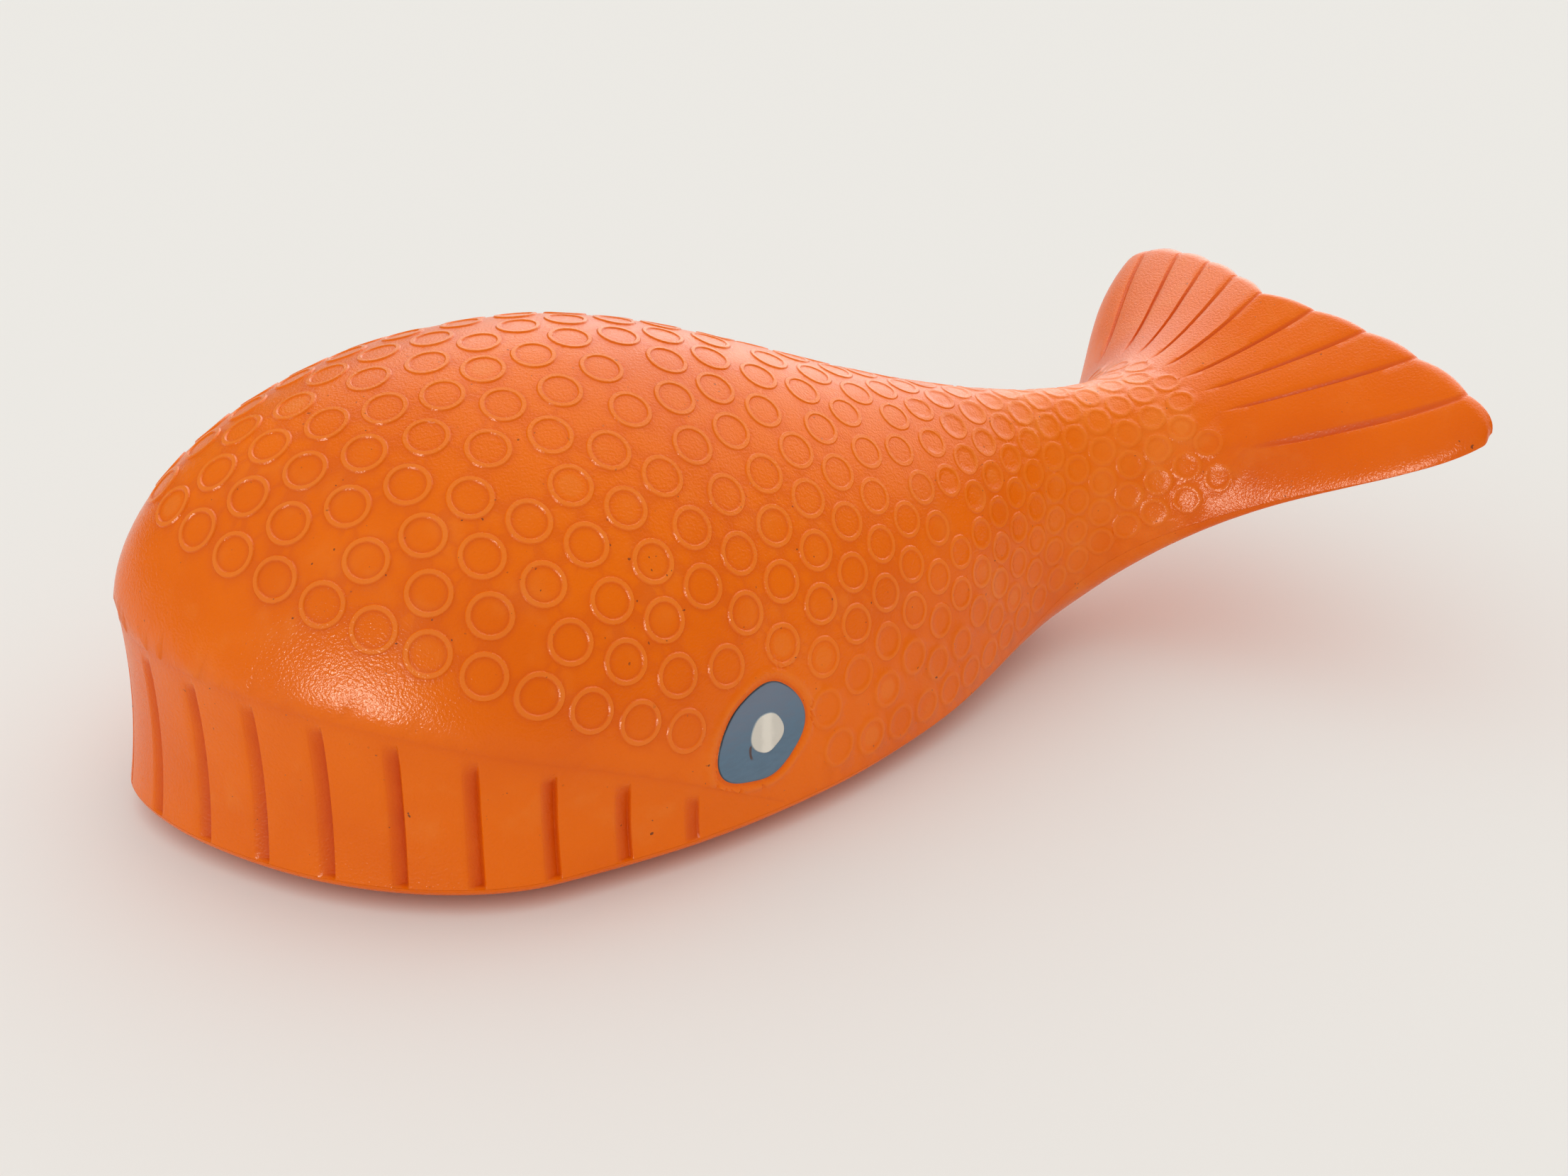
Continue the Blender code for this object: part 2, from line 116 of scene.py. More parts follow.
class BodySizes(bpy.types.PropertyGroup):
    length: size("Length", 166.6, "From the nose to the tips of the fluke")
    head_width: size("Head width", 78.7, "Width at the widest section")
    widest_at: size("Widest at", 38.9, "Place of the widest section")
    nose_power: number("Nose power", 1.72, "Roundness of the nose in plan")
    flank_width: size("Flank width", 59.4, "Width halfway to the tail stock")
    taper_width: size("Taper width", 37.0, "Width ahead of the tail stock")
    stock_width: size("Stock width", 23.4, "Width of the tail stock")
    back_height: size("Back height", 54.4, "Highest point of the back")
    back_highest_at: size("Back highest at", 50.8, "Place of the highest point")
    forehead_power: number("Forehead power", 1.94, "Roundness of the forehead in profile")
    saddle_height: size("Saddle height", 44.0, "Back line halfway to the tail stock")
    stock_top: size("Stock top", 35.8, "Top of the tail stock")
    rim_height: size("Rim height", 3.3, "Seam round the head")
    seam_tuck_height: size("Seam tuck height", 4.9, "Seam where the belly tucks up")
    seam_stock_height: size("Seam stock height", 15.0, "Seam at the tail stock")
    flat_length: size("Flat length", 80.0, "Where the flat belly ends")
    tuck_height: size("Tuck height", 2.2, "Underside behind the flat belly")
    stock_bottom: size("Stock bottom", 7.0, "Underside of the tail stock")
    belly_corner: size("Belly corner", 12.0, "Width of the belly's rounded corner")
    nose_section_power: number("Nose section power", 1.12, "Roundness of sections at the nose")
    stock_section_power: number("Stock section power", 2.41, "Roundness of sections at the tail stock")
    wall: size("Wall", 1.2, "Thickness of the shells")
    seam_gap: size("Seam gap", 0.03, "Open line between the two shells")
    unevenness: size("Unevenness", 0.09, "Slow waves left in the skin by moulding")


class HeadSizes(bpy.types.PropertyGroup):
    brow_height: size("Brow height", 25.0, "Crease above the band at the nose")
    brow_length: size("Brow length", 70.0, "Where the brow meets the seam")
    brow_lip: size("Brow lip", 0.55, "How far the brow stands over the crease")
    brow_roll: size("Brow roll", 2.5, "Height of the brow's rolled edge")
    chin: size("Chin", 1.4, "How far the rim juts out under the nose")
    chin_rows: number("Chin rows", 0.45, "How far the chin runs round the nose")
    band_cove: size("Band cove", 0.75, "Hollow of the band between rim and brow")
    band_length: size("Band length", 80.0, "Run of the grooves round the head")
    groove_pitch: size("Groove pitch", 8.65, "Spacing of the grooves")
    groove_width: size("Groove width", 1.9, "Soft flank of a groove")
    groove_step: size("Groove step", 0.35, "Sharp flank of a groove")
    groove_depth: size("Groove depth", 0.75, "Depth of a groove")
    groove_reach: size("Groove reach", 2.9, "Distance under the brow where a groove is at its full depth")


class FlukeSizes(bpy.types.PropertyGroup):
    length: size("Fluke length", 29.4, "From the tail stock to the notch")
    span: size("Fluke span", 82.2, "From tip to tip")
    root_width: size("Root width", 51.4, "Width halfway along the fluke")
    sweep: size("Sweep", 6.3, "How far the tips lie behind the notch")
    tip_round: size("Tip round", 1.2, "Rounding of the tips in plan")
    root_top: size("Root top", 38.0, "Top halfway along the fluke")
    top: size("Fluke top", 47.6, "Top at the notch")
    root_bottom: size("Root bottom", 23.6, "Underside halfway along the fluke")
    edge_thickness: size("Edge thickness", 4.0, "Thickness at the notch")
    edge_round: size("Edge round", 1.6, "Rounding of the trailing edge")
    section_dip: number("Section dip", 1.0, "How much flatter the sections are in the fluke")
    seam_root_height: size("Seam root height", 26.9, "Seam halfway along the fluke")
    seam_tip_height: size("Seam tip height", 38.6, "Seam at the tips")
    arch: size("Arch", 7.0, "How far the middle stands over the tips")
    rays_each_side: IntProperty(
        name="Rays each side", description="Grooved rays beside the middle one", default=4
    )
    ray_outermost: number("Outermost ray", 0.885, "Share of the half-span where the last ray lies")
    ray_gather: number("Ray gather", 0.22, "How much the rays close up halfway along the fluke")
    ray_width: size("Ray width", 1.25, "Width of a ray")
    ray_depth: size("Ray depth", 0.5, "Depth of a ray")
    ray_length: size("Ray length", 17.0, "Length of the rays")
    ray_crown: size("Ray crown", 0.05, "How far the skin swells between rays")
    scallop: size("Scallop", 0.28, "How far the edge bulges between rays")


class ScaleSizes(bpy.types.PropertyGroup):
    head_pitch: size("Pitch on the head", 6.3, "Spacing of the rings on the head")
    tail_pitch: size("Pitch at the tail", 4.1, "Spacing of the rings on the tail stock")
    head_ring: size("Ring on the head", 5.45, "Width of a ring on the head")
    tail_ring: size("Ring at the tail", 4.2, "Width of a ring on the tail stock")
    rim_width: size("Rim width", 0.74, "Width of a ring's raised rim")
    rim_rise: size("Rim rise", 0.17, "Height of a ring's raised rim")
    tail_fade: number("Tail fade", 0.42, "How much lower the rims are on the tail stock")
    rim_wall: size("Rim wall", 0.16, "Width of the steep sides of a rim")
    disc_rise: size("Disc rise", 0.02, "Height of the skin inside a ring")
    forehead: size("Forehead", 16.2, "Smooth skin between the brow and the rings at the nose")
    cheek: size("Cheek", 6.0, "Smooth skin between the brow and the rings at the eye")
    edge: size("Edge", 3.6, "Smooth skin between the seam and the rings behind the eye")
    end_at: size("Rings end at", 142.0, "Where the rings give way to the fluke's rays")


class EyeSizes(bpy.types.PropertyGroup):
    place: size("Place", 66.2, "Place of the eye along the body")
    height: size("Height", 13.9, "Height of the eye's middle over the table")
    long: size("Long", 14.0, "Longest width of the painted iris")
    short: size("Short", 11.1, "Shortest width of the painted iris")
    slant: turn("Slant", 19.6, "Rise of the iris towards the tail")
    pupil_long: size("Pupil long", 5.25, "Longest width of the painted pupil")
    pupil_short: size("Pupil short", 4.8, "Shortest width of the painted pupil")
    pupil_shift: size("Pupil shift", 0.58, "How far the pupil lies behind the iris's middle")
    film: size("Film", 0.09, "Thickness of the paint")
    lid_rise: size("Lid rise", 0.26, "Height of the ridge round the eye")


class Finishes(bpy.types.PropertyGroup):
    celluloid: colour("Celluloid", (0.89, 0.167, 0.0), "Clean orange celluloid")
    # This deeper orange also serves as painted shade in creases, grooves, rays, ring feet and over the
    # fluke.
    deep_and_shade: colour("Deep celluloid", (0.67, 0.078, 0.0), "Orange where the skin is thick or grimy")
    # This paler orange also serves as the painted sheen towards the tail.
    bleached_and_sheen: colour("Bleached celluloid", (0.9, 0.29, 0.05), "Orange where handling and light paled it")
    grime: colour("Grime", (0.09, 0.03, 0.012), "Dirt in creases and specks")
    iris: colour("Iris paint", (0.1, 0.19, 0.285), "Blue-grey paint of the eye")
    iris_upper: colour("Worn iris", (0.17, 0.2, 0.27), "Greyer paint in the upper part of the eye")
    # Dark line of painted shadow and grime round the iris.
    iris_edge_shade: colour("Iris edge", (0.022, 0.03, 0.04), "Dark line round the iris")
    pupil: colour("Pupil paint", (0.8, 0.79, 0.71), "Off-white paint of the pupil")
    pellet: colour("Pellet", (0.62, 0.47, 0.27), "Dried seed inside the toy")


class StageSizes(bpy.types.PropertyGroup):
    azimuth: turn("Azimuth", -25.55, "Camera's turn round the toy")
    elevation: turn("Elevation", 26.13, "Camera's height angle")
    roll: turn("Roll", 1.42, "Camera's tilt")
    distance: size("Distance", 250.01, "Camera's distance from its target")
    target: FloatVectorProperty(
        name="Target",
        description="Point in the middle of the picture",
        default=(0.000055, -0.00462, 0.0159),
        size=3,
        subtype="TRANSLATION",
    )
    focal: number("Focal length", 2670.12, "Focal length in the photograph's pixels")
    floor: colour("Floor", (0.84, 0.815, 0.79), "Pale table")
    light: number("Light", 1.0, "Strength of the key lamp")
    room_bright: number("Bright room", 1.17, "Strength of the room's light behind the toy")
    room_dark: number("Dark room", 0.74, "Strength of the room's light in front of the toy")
    room_cool: colour("Cool room", (0.94, 1.0, 1.0), "Tint of the room's light behind the toy")
    room_warm: colour("Warm room", (1.0, 0.86, 0.78), "Tint of the room's light in front of the toy")
    gloss: number("Gloss", 3.5, "Strength of the bright side of the room in reflections")


class RattleSettings(bpy.types.PropertyGroup):
    body: PointerProperty(type=BodySizes)
    head: PointerProperty(type=HeadSizes)
    fluke: PointerProperty(type=FlukeSizes)
    scales: PointerProperty(type=ScaleSizes)
    eye: PointerProperty(type=EyeSizes)
    finish: PointerProperty(type=Finishes)
    stage: PointerProperty(type=StageSizes)


def spline(stations, start_slope, end_slope=None):
    """A smooth curve through (place, value) stations. Without an end slope it runs out straight."""
    places, values = np.array(stations, float).T
    steps = np.diff(places)
    rises = np.diff(values) / steps
    count = len(places)
    matrix = np.zeros((count, count))
    right = np.zeros(count)
    for i in range(1, count - 1):
        matrix[i, i - 1 : i + 2] = 1 / steps[i - 1], 2 / steps[i - 1] + 2 / steps[i], 1 / steps[i]
        right[i] = 3 * (rises[i - 1] / steps[i - 1] + rises[i] / steps[i])
    matrix[0, :2], right[0] = (1, 0), start_slope
    matrix[-1, -2:], right[-1] = (1, 2), 3 * rises[-1]
    if end_slope is not None:
        matrix[-1, -2:], right[-1] = (0, 1), end_slope
    slopes = np.linalg.solve(matrix, right)

    def curve(place):
        place = np.clip(place, places[0], places[-1])
        i = np.clip(np.searchsorted(places, place) - 1, 0, count - 2)
        t = (place - places[i]) / steps[i]
        start = values[i] * (1 + 2 * t) * (1 - t) ** 2 + slopes[i] * steps[i] * t * (1 - t) ** 2
        end = values[i + 1] * t**2 * (3 - 2 * t) + slopes[i + 1] * steps[i] * t**2 * (t - 1)
        return start + end

    return curve


def rows_to(end, nose_count, flank_count, power):
    """Rows round the nose, closer together at its tip, and on to an end row."""
    nose = np.linspace(0, 1, nose_count) ** power
    return np.concatenate([nose, np.linspace(1, end, flank_count)[1:]])


def dots(first, second):
    """Dot products, row by row."""
    return np.einsum("ij,ij->i", first, second)


def ramp(value, start, end):
    """0 before start, 1 after end, and an even S between them."""
    t = np.clip((value - start) / (end - start), 0, 1)
    return t * t * (3 - 2 * t)


class Form:
    """The skins of the toy. Rows 0 to 1 run round the nose, 1 to 2 on to the fluke's notch."""

    def __init__(self, toy):
        self.body, self.head, self.fluke = body, head, fluke = toy.body, toy.head, toy.fluke
        self.notch_at = body.length - fluke.sweep
        self.stock_at = self.notch_at - fluke.length
        self.root_at = self.stock_at + fluke.length / 2
        self.rays_at = self.notch_at - fluke.ray_length
        self.rays_row = self.row_at(self.rays_at)
        self.middle_at = (body.length + head.brow_lip - head.chin) / 2
        flank_at = (body.widest_at + self.stock_at) / 2
        taper_at = (flank_at + self.stock_at) / 2
        saddle_at = (body.back_highest_at + self.stock_at) / 2
        tuck_at = (body.flat_length + self.stock_at) / 2
        flank = [
            (body.widest_at, body.head_width / 2),
            (flank_at, body.flank_width / 2),
            (taper_at, body.taper_width / 2),
        ]
        back = [(body.back_highest_at, body.back_height), (saddle_at, body.saddle_height)]
        seam = [(head.brow_length, body.rim_height), (tuck_at, body.seam_tuck_height)]
        belly = [(body.flat_length, 0), (tuck_at, body.tuck_height)]
        edge_bottom = fluke.top - fluke.edge_thickness
        widths = body.stock_width / 2, fluke.root_width / 2, fluke.span / 2
        self.flank_curve = self.curve(flank, widths, 0)
        self.back_curve = self.curve(back, (body.stock_top, fluke.root_top, fluke.top))
        seam_tail = body.seam_stock_height, fluke.seam_root_height, fluke.seam_tip_height
        self.seam_curve = self.curve(seam, seam_tail)
        self.belly_curve = self.curve(belly, (body.stock_bottom, fluke.root_bottom, edge_bottom))

    def curve(self, stations, tail_values, end_slope=None):
        """A level start through stations of the body, and on through stock, root and notch."""
        tail = zip((self.stock_at, self.root_at, self.notch_at), tail_values)
        return spline([*stations, *tail], 0, end_slope)

    def outline(self, row, inset=0.0):
        """Place and half-width of a row."""
        body, fluke = self.body, self.fluke
        bend = np.clip(row, 0, 1) * HALF_PI
        nose_at = body.widest_at - (body.widest_at - inset) * np.cos(bend) ** (2 / body.nose_power)
        nose_half = (body.head_width / 2 - inset) * np.sin(bend) ** (2 / body.nose_power)
        flank_at = body.widest_at + (np.maximum(row, 1) - 1) * (self.notch_at - body.widest_at)
        tip = ramp(flank_at, self.notch_at - fluke.edge_round, self.notch_at) * fluke.tip_round
        flank_half = self.flank_curve(flank_at) - inset - tip
        return np.where(row < 1, nose_at, flank_at), np.where(row < 1, nose_half, flank_half)

    def row_at(self, place):
        """The row of a place behind the widest section."""
        return 1 + (place - self.body.widest_at) / (self.notch_at - self.body.widest_at)

    def along_fluke(self, place):
        """0 at the tail stock, 1 at the fluke's notch."""
        return np.clip((place - self.stock_at) / self.fluke.length, 0, 1)

    def edge_round(self, place):
        """1 along the body, falling to 0 in a quarter ellipse at the fluke's edge."""
        t = np.clip((place - self.notch_at + self.fluke.edge_round) / self.fluke.edge_round, 0, 1)
        return np.sqrt(1 - t * t)

    def back_height(self, place, inset=0.0):
        body, brow = self.body, self.head.brow_height
        reach = np.clip((body.back_highest_at - place) / (body.back_highest_at - inset), 0, 1)
        rise = (1 - reach**body.forehead_power) ** (1 / body.forehead_power)
        nose = brow + (body.back_height - inset - brow) * rise
        return np.where(place < body.back_highest_at, nose, self.back_curve(place) - inset)

    def brow_height(self, place):
        """The crease above the grooved band, which runs down to the seam below the eye."""
        reach = np.clip(place / self.head.brow_length, 0, 1)
        return self.body.rim_height + (self.head.brow_height - self.body.rim_height) * (1 - reach**2)

    def brow_fade(self, place):
        """1 round the nose, 0 where the brow has run out."""
        return 1 - ramp(place, self.head.brow_length * 0.6, self.head.brow_length)

    def section_rise(self, place, angle):
        """Share of the section's height at an angle over its width."""
        body = self.body
        share = np.clip(place / self.stock_at, 0, 1)
        dip = self.fluke.section_dip * 4 * self.along_fluke(place) * (1 - self.along_fluke(place))
        power = body.nose_section_power + (body.stock_section_power - body.nose_section_power) * share - dip
        return np.sin(angle) ** (2 / power)

    def parting(self, place, angle):
        """Height of the surface that parts the two shells."""
        arch = self.fluke.arch * self.along_fluke(place) ** 2
        return self.seam_curve(place) + arch * self.section_rise(place, angle)

    def belly_corner(self, place, half):
        corner = self.body.belly_corner
        share = ramp(place, self.body.flat_length * 0.75, self.stock_at)
        return np.minimum(corner + (half - corner) * share, half)

    def swept(self, place, across):
        bow = 1 - (1 - np.abs(across)) ** 2
        return place + self.fluke.sweep * self.along_fluke(place) ** 1.5 * bow

    def scalloped(self, place, across):
        fluke = self.fluke
        cusp = 1 - np.abs(np.sin(np.pi * fluke.rays_each_side * across / fluke.ray_outermost))
        return place - fluke.scallop * self.along_fluke(place) ** 6 * cusp * (np.abs(across) < 1)

    def gathered(self, across, place):
        share = self.along_fluke(place)
        return across * (1 - self.fluke.ray_gather * 4 * share * (1 - share) * (1 - across**6))

    def points(self, place, y, height):
        """Points in the part's own frame."""
        spot = np.broadcast_arrays(place - self.middle_at, y, height)
        return np.stack(spot, axis=-1)

    def brow_inset(self, row):
        return self.head.brow_lip * self.brow_fade(self.outline(row)[0])

    def rim_inset(self, row):
        return self.brow_inset(row) - self.head.chin * (1 - ramp(row, 0, self.head.chin_rows))

    def back_base(self, place, angle):
        """Where the domed part of the back starts: at the brow, and behind it at the seam."""
        seam = self.parting(place, angle) + self.body.seam_gap / 2
        return np.where(place < self.head.brow_length, np.maximum(self.brow_height(place), seam), seam)

    def ray_relief(self, place, column):
        """Height of the skin in and between the fluke's rays."""
        fluke = self.fluke
        count = fluke.rays_each_side * column / fluke.ray_outermost
        off = np.abs(count - np.round(count)) * fluke.ray_outermost / fluke.rays_each_side
        off = np.where(np.abs(count) > fluke.rays_each_side, np.abs(column) - fluke.ray_outermost, off)
        width = fluke.ray_width / fluke.span
        cut = 1 - ramp(off, 0, width)
        crown = ramp(off, 0, fluke.ray_outermost / fluke.rays_each_side / 2)
        full_at = self.rays_at + 0.3 * fluke.ray_length
        shallow_at = self.notch_at - 7 * MM
        length = ramp(place, self.rays_at, full_at)
        calm_tip = 1 - ramp(np.abs(column), 0.93, 1)
        shallow_end = 1 - 0.6 * ramp(place, shallow_at, self.notch_at)
        cut = cut * shallow_end
        return (fluke.ray_crown * crown * calm_tip - fluke.ray_depth * cut) * length * self.edge_round(place)

    def painted_ray_shade(self, relief):
        """Painted shade in the rays, from the height of their skin."""
        return np.sqrt(np.clip(-relief / self.fluke.ray_depth, 0, 1))

    def back(self, row, column):
        """Points of the outer skin above the brow and on the fluke, without rays and rings."""
        place, _ = self.outline(row)
        across = self.gathered(column, place)
        angle = np.arccos(np.clip(np.abs(across), 0, 1))
        spot = self.scalloped(place, across)
        height = self.back_height(spot) - self.back_base(spot, HALF_PI)
        rise = height * self.edge_round(place) * self.section_rise(spot, angle)
        roll = self.brow_inset(row) * np.clip(1 - rise / self.head.brow_roll, 0, 1) ** 2
        at, half = self.outline(row, roll)
        lie = self.swept(at - place + spot, across)
        return self.points(lie, across * half, self.back_base(spot, angle) + rise)

    def groove_ends(self, tall, share):
        """1 along a groove, falling to 0 under the brow and at the rim."""
        reach = self.head.groove_reach
        return ramp(tall * (1 - share), 0.4 * reach, reach) * ramp(tall * share, 0, 0.06 * reach)

    def band(self, row, side, share, groove):
        """Points of the coved band between the rim (0) and the brow (1)."""
        place, _ = self.outline(row)
        cove = self.head.band_cove * 4 * share * (1 - share)
        wall = self.rim_inset(row) + (self.brow_inset(row) - self.rim_inset(row)) * share
        low = self.parting(place, 0) + self.body.seam_gap / 2
        tall = self.back_base(place, 0) - low
        groove = groove * self.groove_ends(tall, share)
        hollow = (cove + self.head.groove_depth * groove) * self.brow_fade(place)
        at, half = self.outline(row, wall + hollow)
        height = low + tall * share
        return self.points(self.swept(at, side), side * half, height)

    def belly(self, row, column):
        """Points of the outer skin of the belly and of the fluke's underside."""
        place, _ = self.outline(row)
        side = np.where(column < 0, -1.0, 1.0)
        cosine = np.abs(self.gathered(column, place))
        angle = np.arccos(np.clip(cosine, 0, 1))
        inset = self.rim_inset(row)
        at, half = self.outline(row, inset)
        corner = np.where(row >= 1, self.belly_corner(at, half), self.body.belly_corner)
        lie, inner = self.outline(row, inset + corner * (1 - cosine))
        across = side * cosine
        spot = self.scalloped(at, across)
        face = np.arccos(np.clip(inner / np.maximum(half, self.body.wall), 0, 1))
        lift = -self.body.seam_gap / 2
        depth = (self.parting(spot, HALF_PI) + lift - self.belly_curve(spot)) * np.sin(angle)
        height = self.parting(spot, face) + lift - depth * self.edge_round(place)
        return self.points(self.swept(lie - at + spot, across), side * inner, height)

    def lid(self, row, column, upper):
        """Points of the inner skin of a shell: hollow in the body, and closing on the seam in the fluke."""
        body, head = self.body, self.head
        rim_ledge = 0.3 * MM
        closing_length = 14 * MM
        roof_wall = 1.6 * body.wall
        place, _ = self.outline(row)
        inset = np.maximum(self.rim_inset(row), 0) + rim_ledge
        depth = body.wall + (head.brow_lip + head.band_cove + head.groove_depth) * self.brow_fade(place)
        across = np.clip(np.abs(column) / LAND, 0, 1)
        land = ramp(np.abs(column), LAND, 1)
        at, half = self.outline(row, inset + (depth - inset) * (1 - land))
        angle = np.arccos(across)
        open_share = 1 - ramp(place, self.stock_at - closing_length, self.stock_at)
        lift = (body.seam_gap / 2) * (1 if upper else -1)
        level = self.parting(place, np.arccos(np.clip(np.abs(column), 0, 1))) + lift
        if upper:
            roof = np.maximum(self.back_height(place, roof_wall) - level, 0)
            bulge = roof * self.section_rise(place, angle)
        else:
            corner = np.where(row >= 1, self.belly_corner(at, half), body.belly_corner)
            bend = np.clip(1 - (1 - across) * half / corner, 0, 1)
            bulge = -np.maximum(level - self.belly_curve(place) - body.wall, 0) * np.sqrt(1 - bend**2)
        across = np.sign(column) * across
        return self.points(self.swept(at, across), across * half, level + bulge * open_share)


class Dome:
    """The back skin unrolled: u runs along the spine and v along each section, away from the spine."""

    SPANS = 240

    def __init__(self, form):
        self.form = form
        self.rows = rows_to(form.rays_row, 161, 201, 1.5)
        self.angles = np.linspace(0, math.pi, self.SPANS + 1)
        middle = self.SPANS // 2
        spots = form.back(self.rows[:, None], -np.cos(self.angles)[None, :])
        steps = np.linalg.norm(np.diff(spots, axis=1), axis=2)
        v = np.concatenate([np.zeros((len(self.rows), 1)), np.cumsum(steps, axis=1)], axis=1)
        self.v = v - v[:, [middle]]
        spine = spots[:, middle]
        self.u = np.concatenate([[0], np.cumsum(np.linalg.norm(np.diff(spine, axis=0), axis=1))])

    def unroll(self, row, column):
        """u and v of points given by row and column."""
        row, column = np.broadcast_arrays(np.asarray(row, float), np.asarray(column, float))
        place = np.interp(row, self.rows, np.arange(len(self.rows)))
        low = np.minimum(place.astype(int), len(self.rows) - 2)
        share = place - low
        spot = np.interp(np.arccos(np.clip(-column, -1, 1)), self.angles, np.arange(self.SPANS + 1))
        left = np.minimum(spot.astype(int), self.SPANS - 1)
        part = spot - left
        v = 0
        for i, weight in ((low, 1 - share), (low + 1, share)):
            v = v + weight * (self.v[i, left] * (1 - part) + self.v[i, left + 1] * part)
        return np.interp(row, self.rows, self.u), v

    def roll_up(self, u, v):
        """Row and column of points given by u and v."""
        place = np.interp(u, self.u, np.arange(len(self.rows)))
        low = np.minimum(place.astype(int), len(self.rows) - 2)
        share = (place - low)[:, None]
        lines = self.v[low] * (1 - share) + self.v[low + 1] * share
        left = np.clip((lines < v[:, None]).sum(axis=1) - 1, 0, self.SPANS - 1)
        pick = np.arange(len(left))
        width = np.maximum(lines[pick, left + 1] - lines[pick, left], 1e-12)
        part = np.clip((v - lines[pick, left]) / width, 0, 1)
        angle = self.angles[left] + part * (self.angles[1] - self.angles[0])
        return np.interp(u, self.u, self.rows), -np.cos(angle)

    def spots(self, u, v):
        return self.form.back(*self.roll_up(np.atleast_1d(u), np.atleast_1d(v)))

    def frame(self, u, v):
        """Spot, stretch along u and v, and outward normal at one point."""
        step = 0.2 * MM
        here, ahead, aside = self.spots(np.array([u, u + step, u]), np.array([v, v, v + step]))
        along, over = (ahead - here) / step, (aside - here) / step
        normal = np.cross(along, over)
        return here, along, over, normal / np.linalg.norm(normal)

    def ring(self, u, v, offsets):
        """u and v of points that lie at tangent offsets (toward the tail, up) round a point of the skin."""
        _, along, over, normal = self.frame(u, v)
        up = UP - normal * normal[2]
        up /= np.linalg.norm(up)
        tail = TAILWARD - normal * (TAILWARD @ normal) - up * (TAILWARD @ up)
        tail /= np.linalg.norm(tail)
        wanted = offsets[:, :1] * tail + offsets[:, 1:] * up
        solved = np.linalg.lstsq(np.stack([along, over], axis=1), wanted.T, rcond=None)[0]
        return u + solved[0], v + solved[1]

    def find(self, place, height, side):
        """u and v of the skin at a place behind the widest section, a height over the table and a side."""
        row = self.form.row_at(place)
        columns = side * np.linspace(1, 0.05, 400)
        heights = self.form.back(np.full(len(columns), row), columns)[:, 2]
        u, v = self.unroll(row, columns[np.argmin(np.abs(heights - height))])
        return float(u), float(v)


def band_rows(form):
    """Rows round the head and on to the rays, close together in each groove, and the groove's share."""
    head = form.head
    fine = rows_to(form.rays_row, 1200, 800, 1.3)
    place, half = form.outline(fine)
    run = np.concatenate([[0], np.cumsum(np.hypot(np.diff(place), np.diff(half)))])
    spacing, closest = 1.1 * MM, 0.02 * MM
    marks = [np.arange(0, run[-1], spacing), [run[-1]]]
    soft = -head.groove_width * np.array([1, 0.8, 0.6, 0.4, 0.25, 0.12, 0.05])
    sharp = head.groove_step * np.array([0, 0.2, 0.4, 0.6, 0.8, 1, 1.4])
    count = int(head.band_length / head.groove_pitch)
    for i in range(count + 1):
        marks.append(i * head.groove_pitch + np.concatenate([soft, sharp]))
    brow_end = np.interp(form.row_at(head.brow_length), fine, run)
    marks.append([brow_end])
    marks = np.unique(np.concatenate(marks))
    marks = marks[(marks >= 0) & (marks <= run[-1])]
    keep = np.concatenate([[True], np.diff(marks) > closest])
    keep[-1] = True
    marks = marks[keep]
    number = np.floor((marks + head.groove_width) / head.groove_pitch)
    off = marks - number * head.groove_pitch
    flank = np.clip(1 + off / head.groove_width, 0, 1) ** 1.1
    step = 1 - ramp(off, 0, head.groove_step)
    groove = np.where(off < 0, flank, step) * (number <= count)
    return np.interp(marks, run, fine), groove


def fluke_columns(form):
    """Columns of the fluke's skin, closer together in every ray."""
    fluke = form.fluke
    rays = np.linspace(-fluke.ray_outermost, fluke.ray_outermost, 2 * fluke.rays_each_side + 1)
    width = fluke.ray_width / fluke.span
    columns = [rays + width * share for share in (-1, -0.6, -0.3, 0, 0.3, 0.6, 1)]
    gap = rays[1] - rays[0] - 2 * width
    columns += [rays[:-1] + width + gap * share for share in (0.17, 0.33, 0.5, 0.67, 0.83)]
    edge = np.cos(np.linspace(0, np.arccos(fluke.ray_outermost + width), 11)[:-1])
    return np.unique(np.round(np.concatenate([*columns, edge, -edge]), 9))


def fluke_rows(form):
    """Rows of the fluke's skin from the rays' start to the notch, closer together at the rounded edge."""
    flat = np.linspace(form.rays_at, form.notch_at - form.fluke.edge_round, 26)
    edge = form.notch_at - form.fluke.edge_round * (1 - np.sin(np.linspace(0, HALF_PI, 12)[1:]))
    return form.row_at(np.concatenate([flat, edge]))


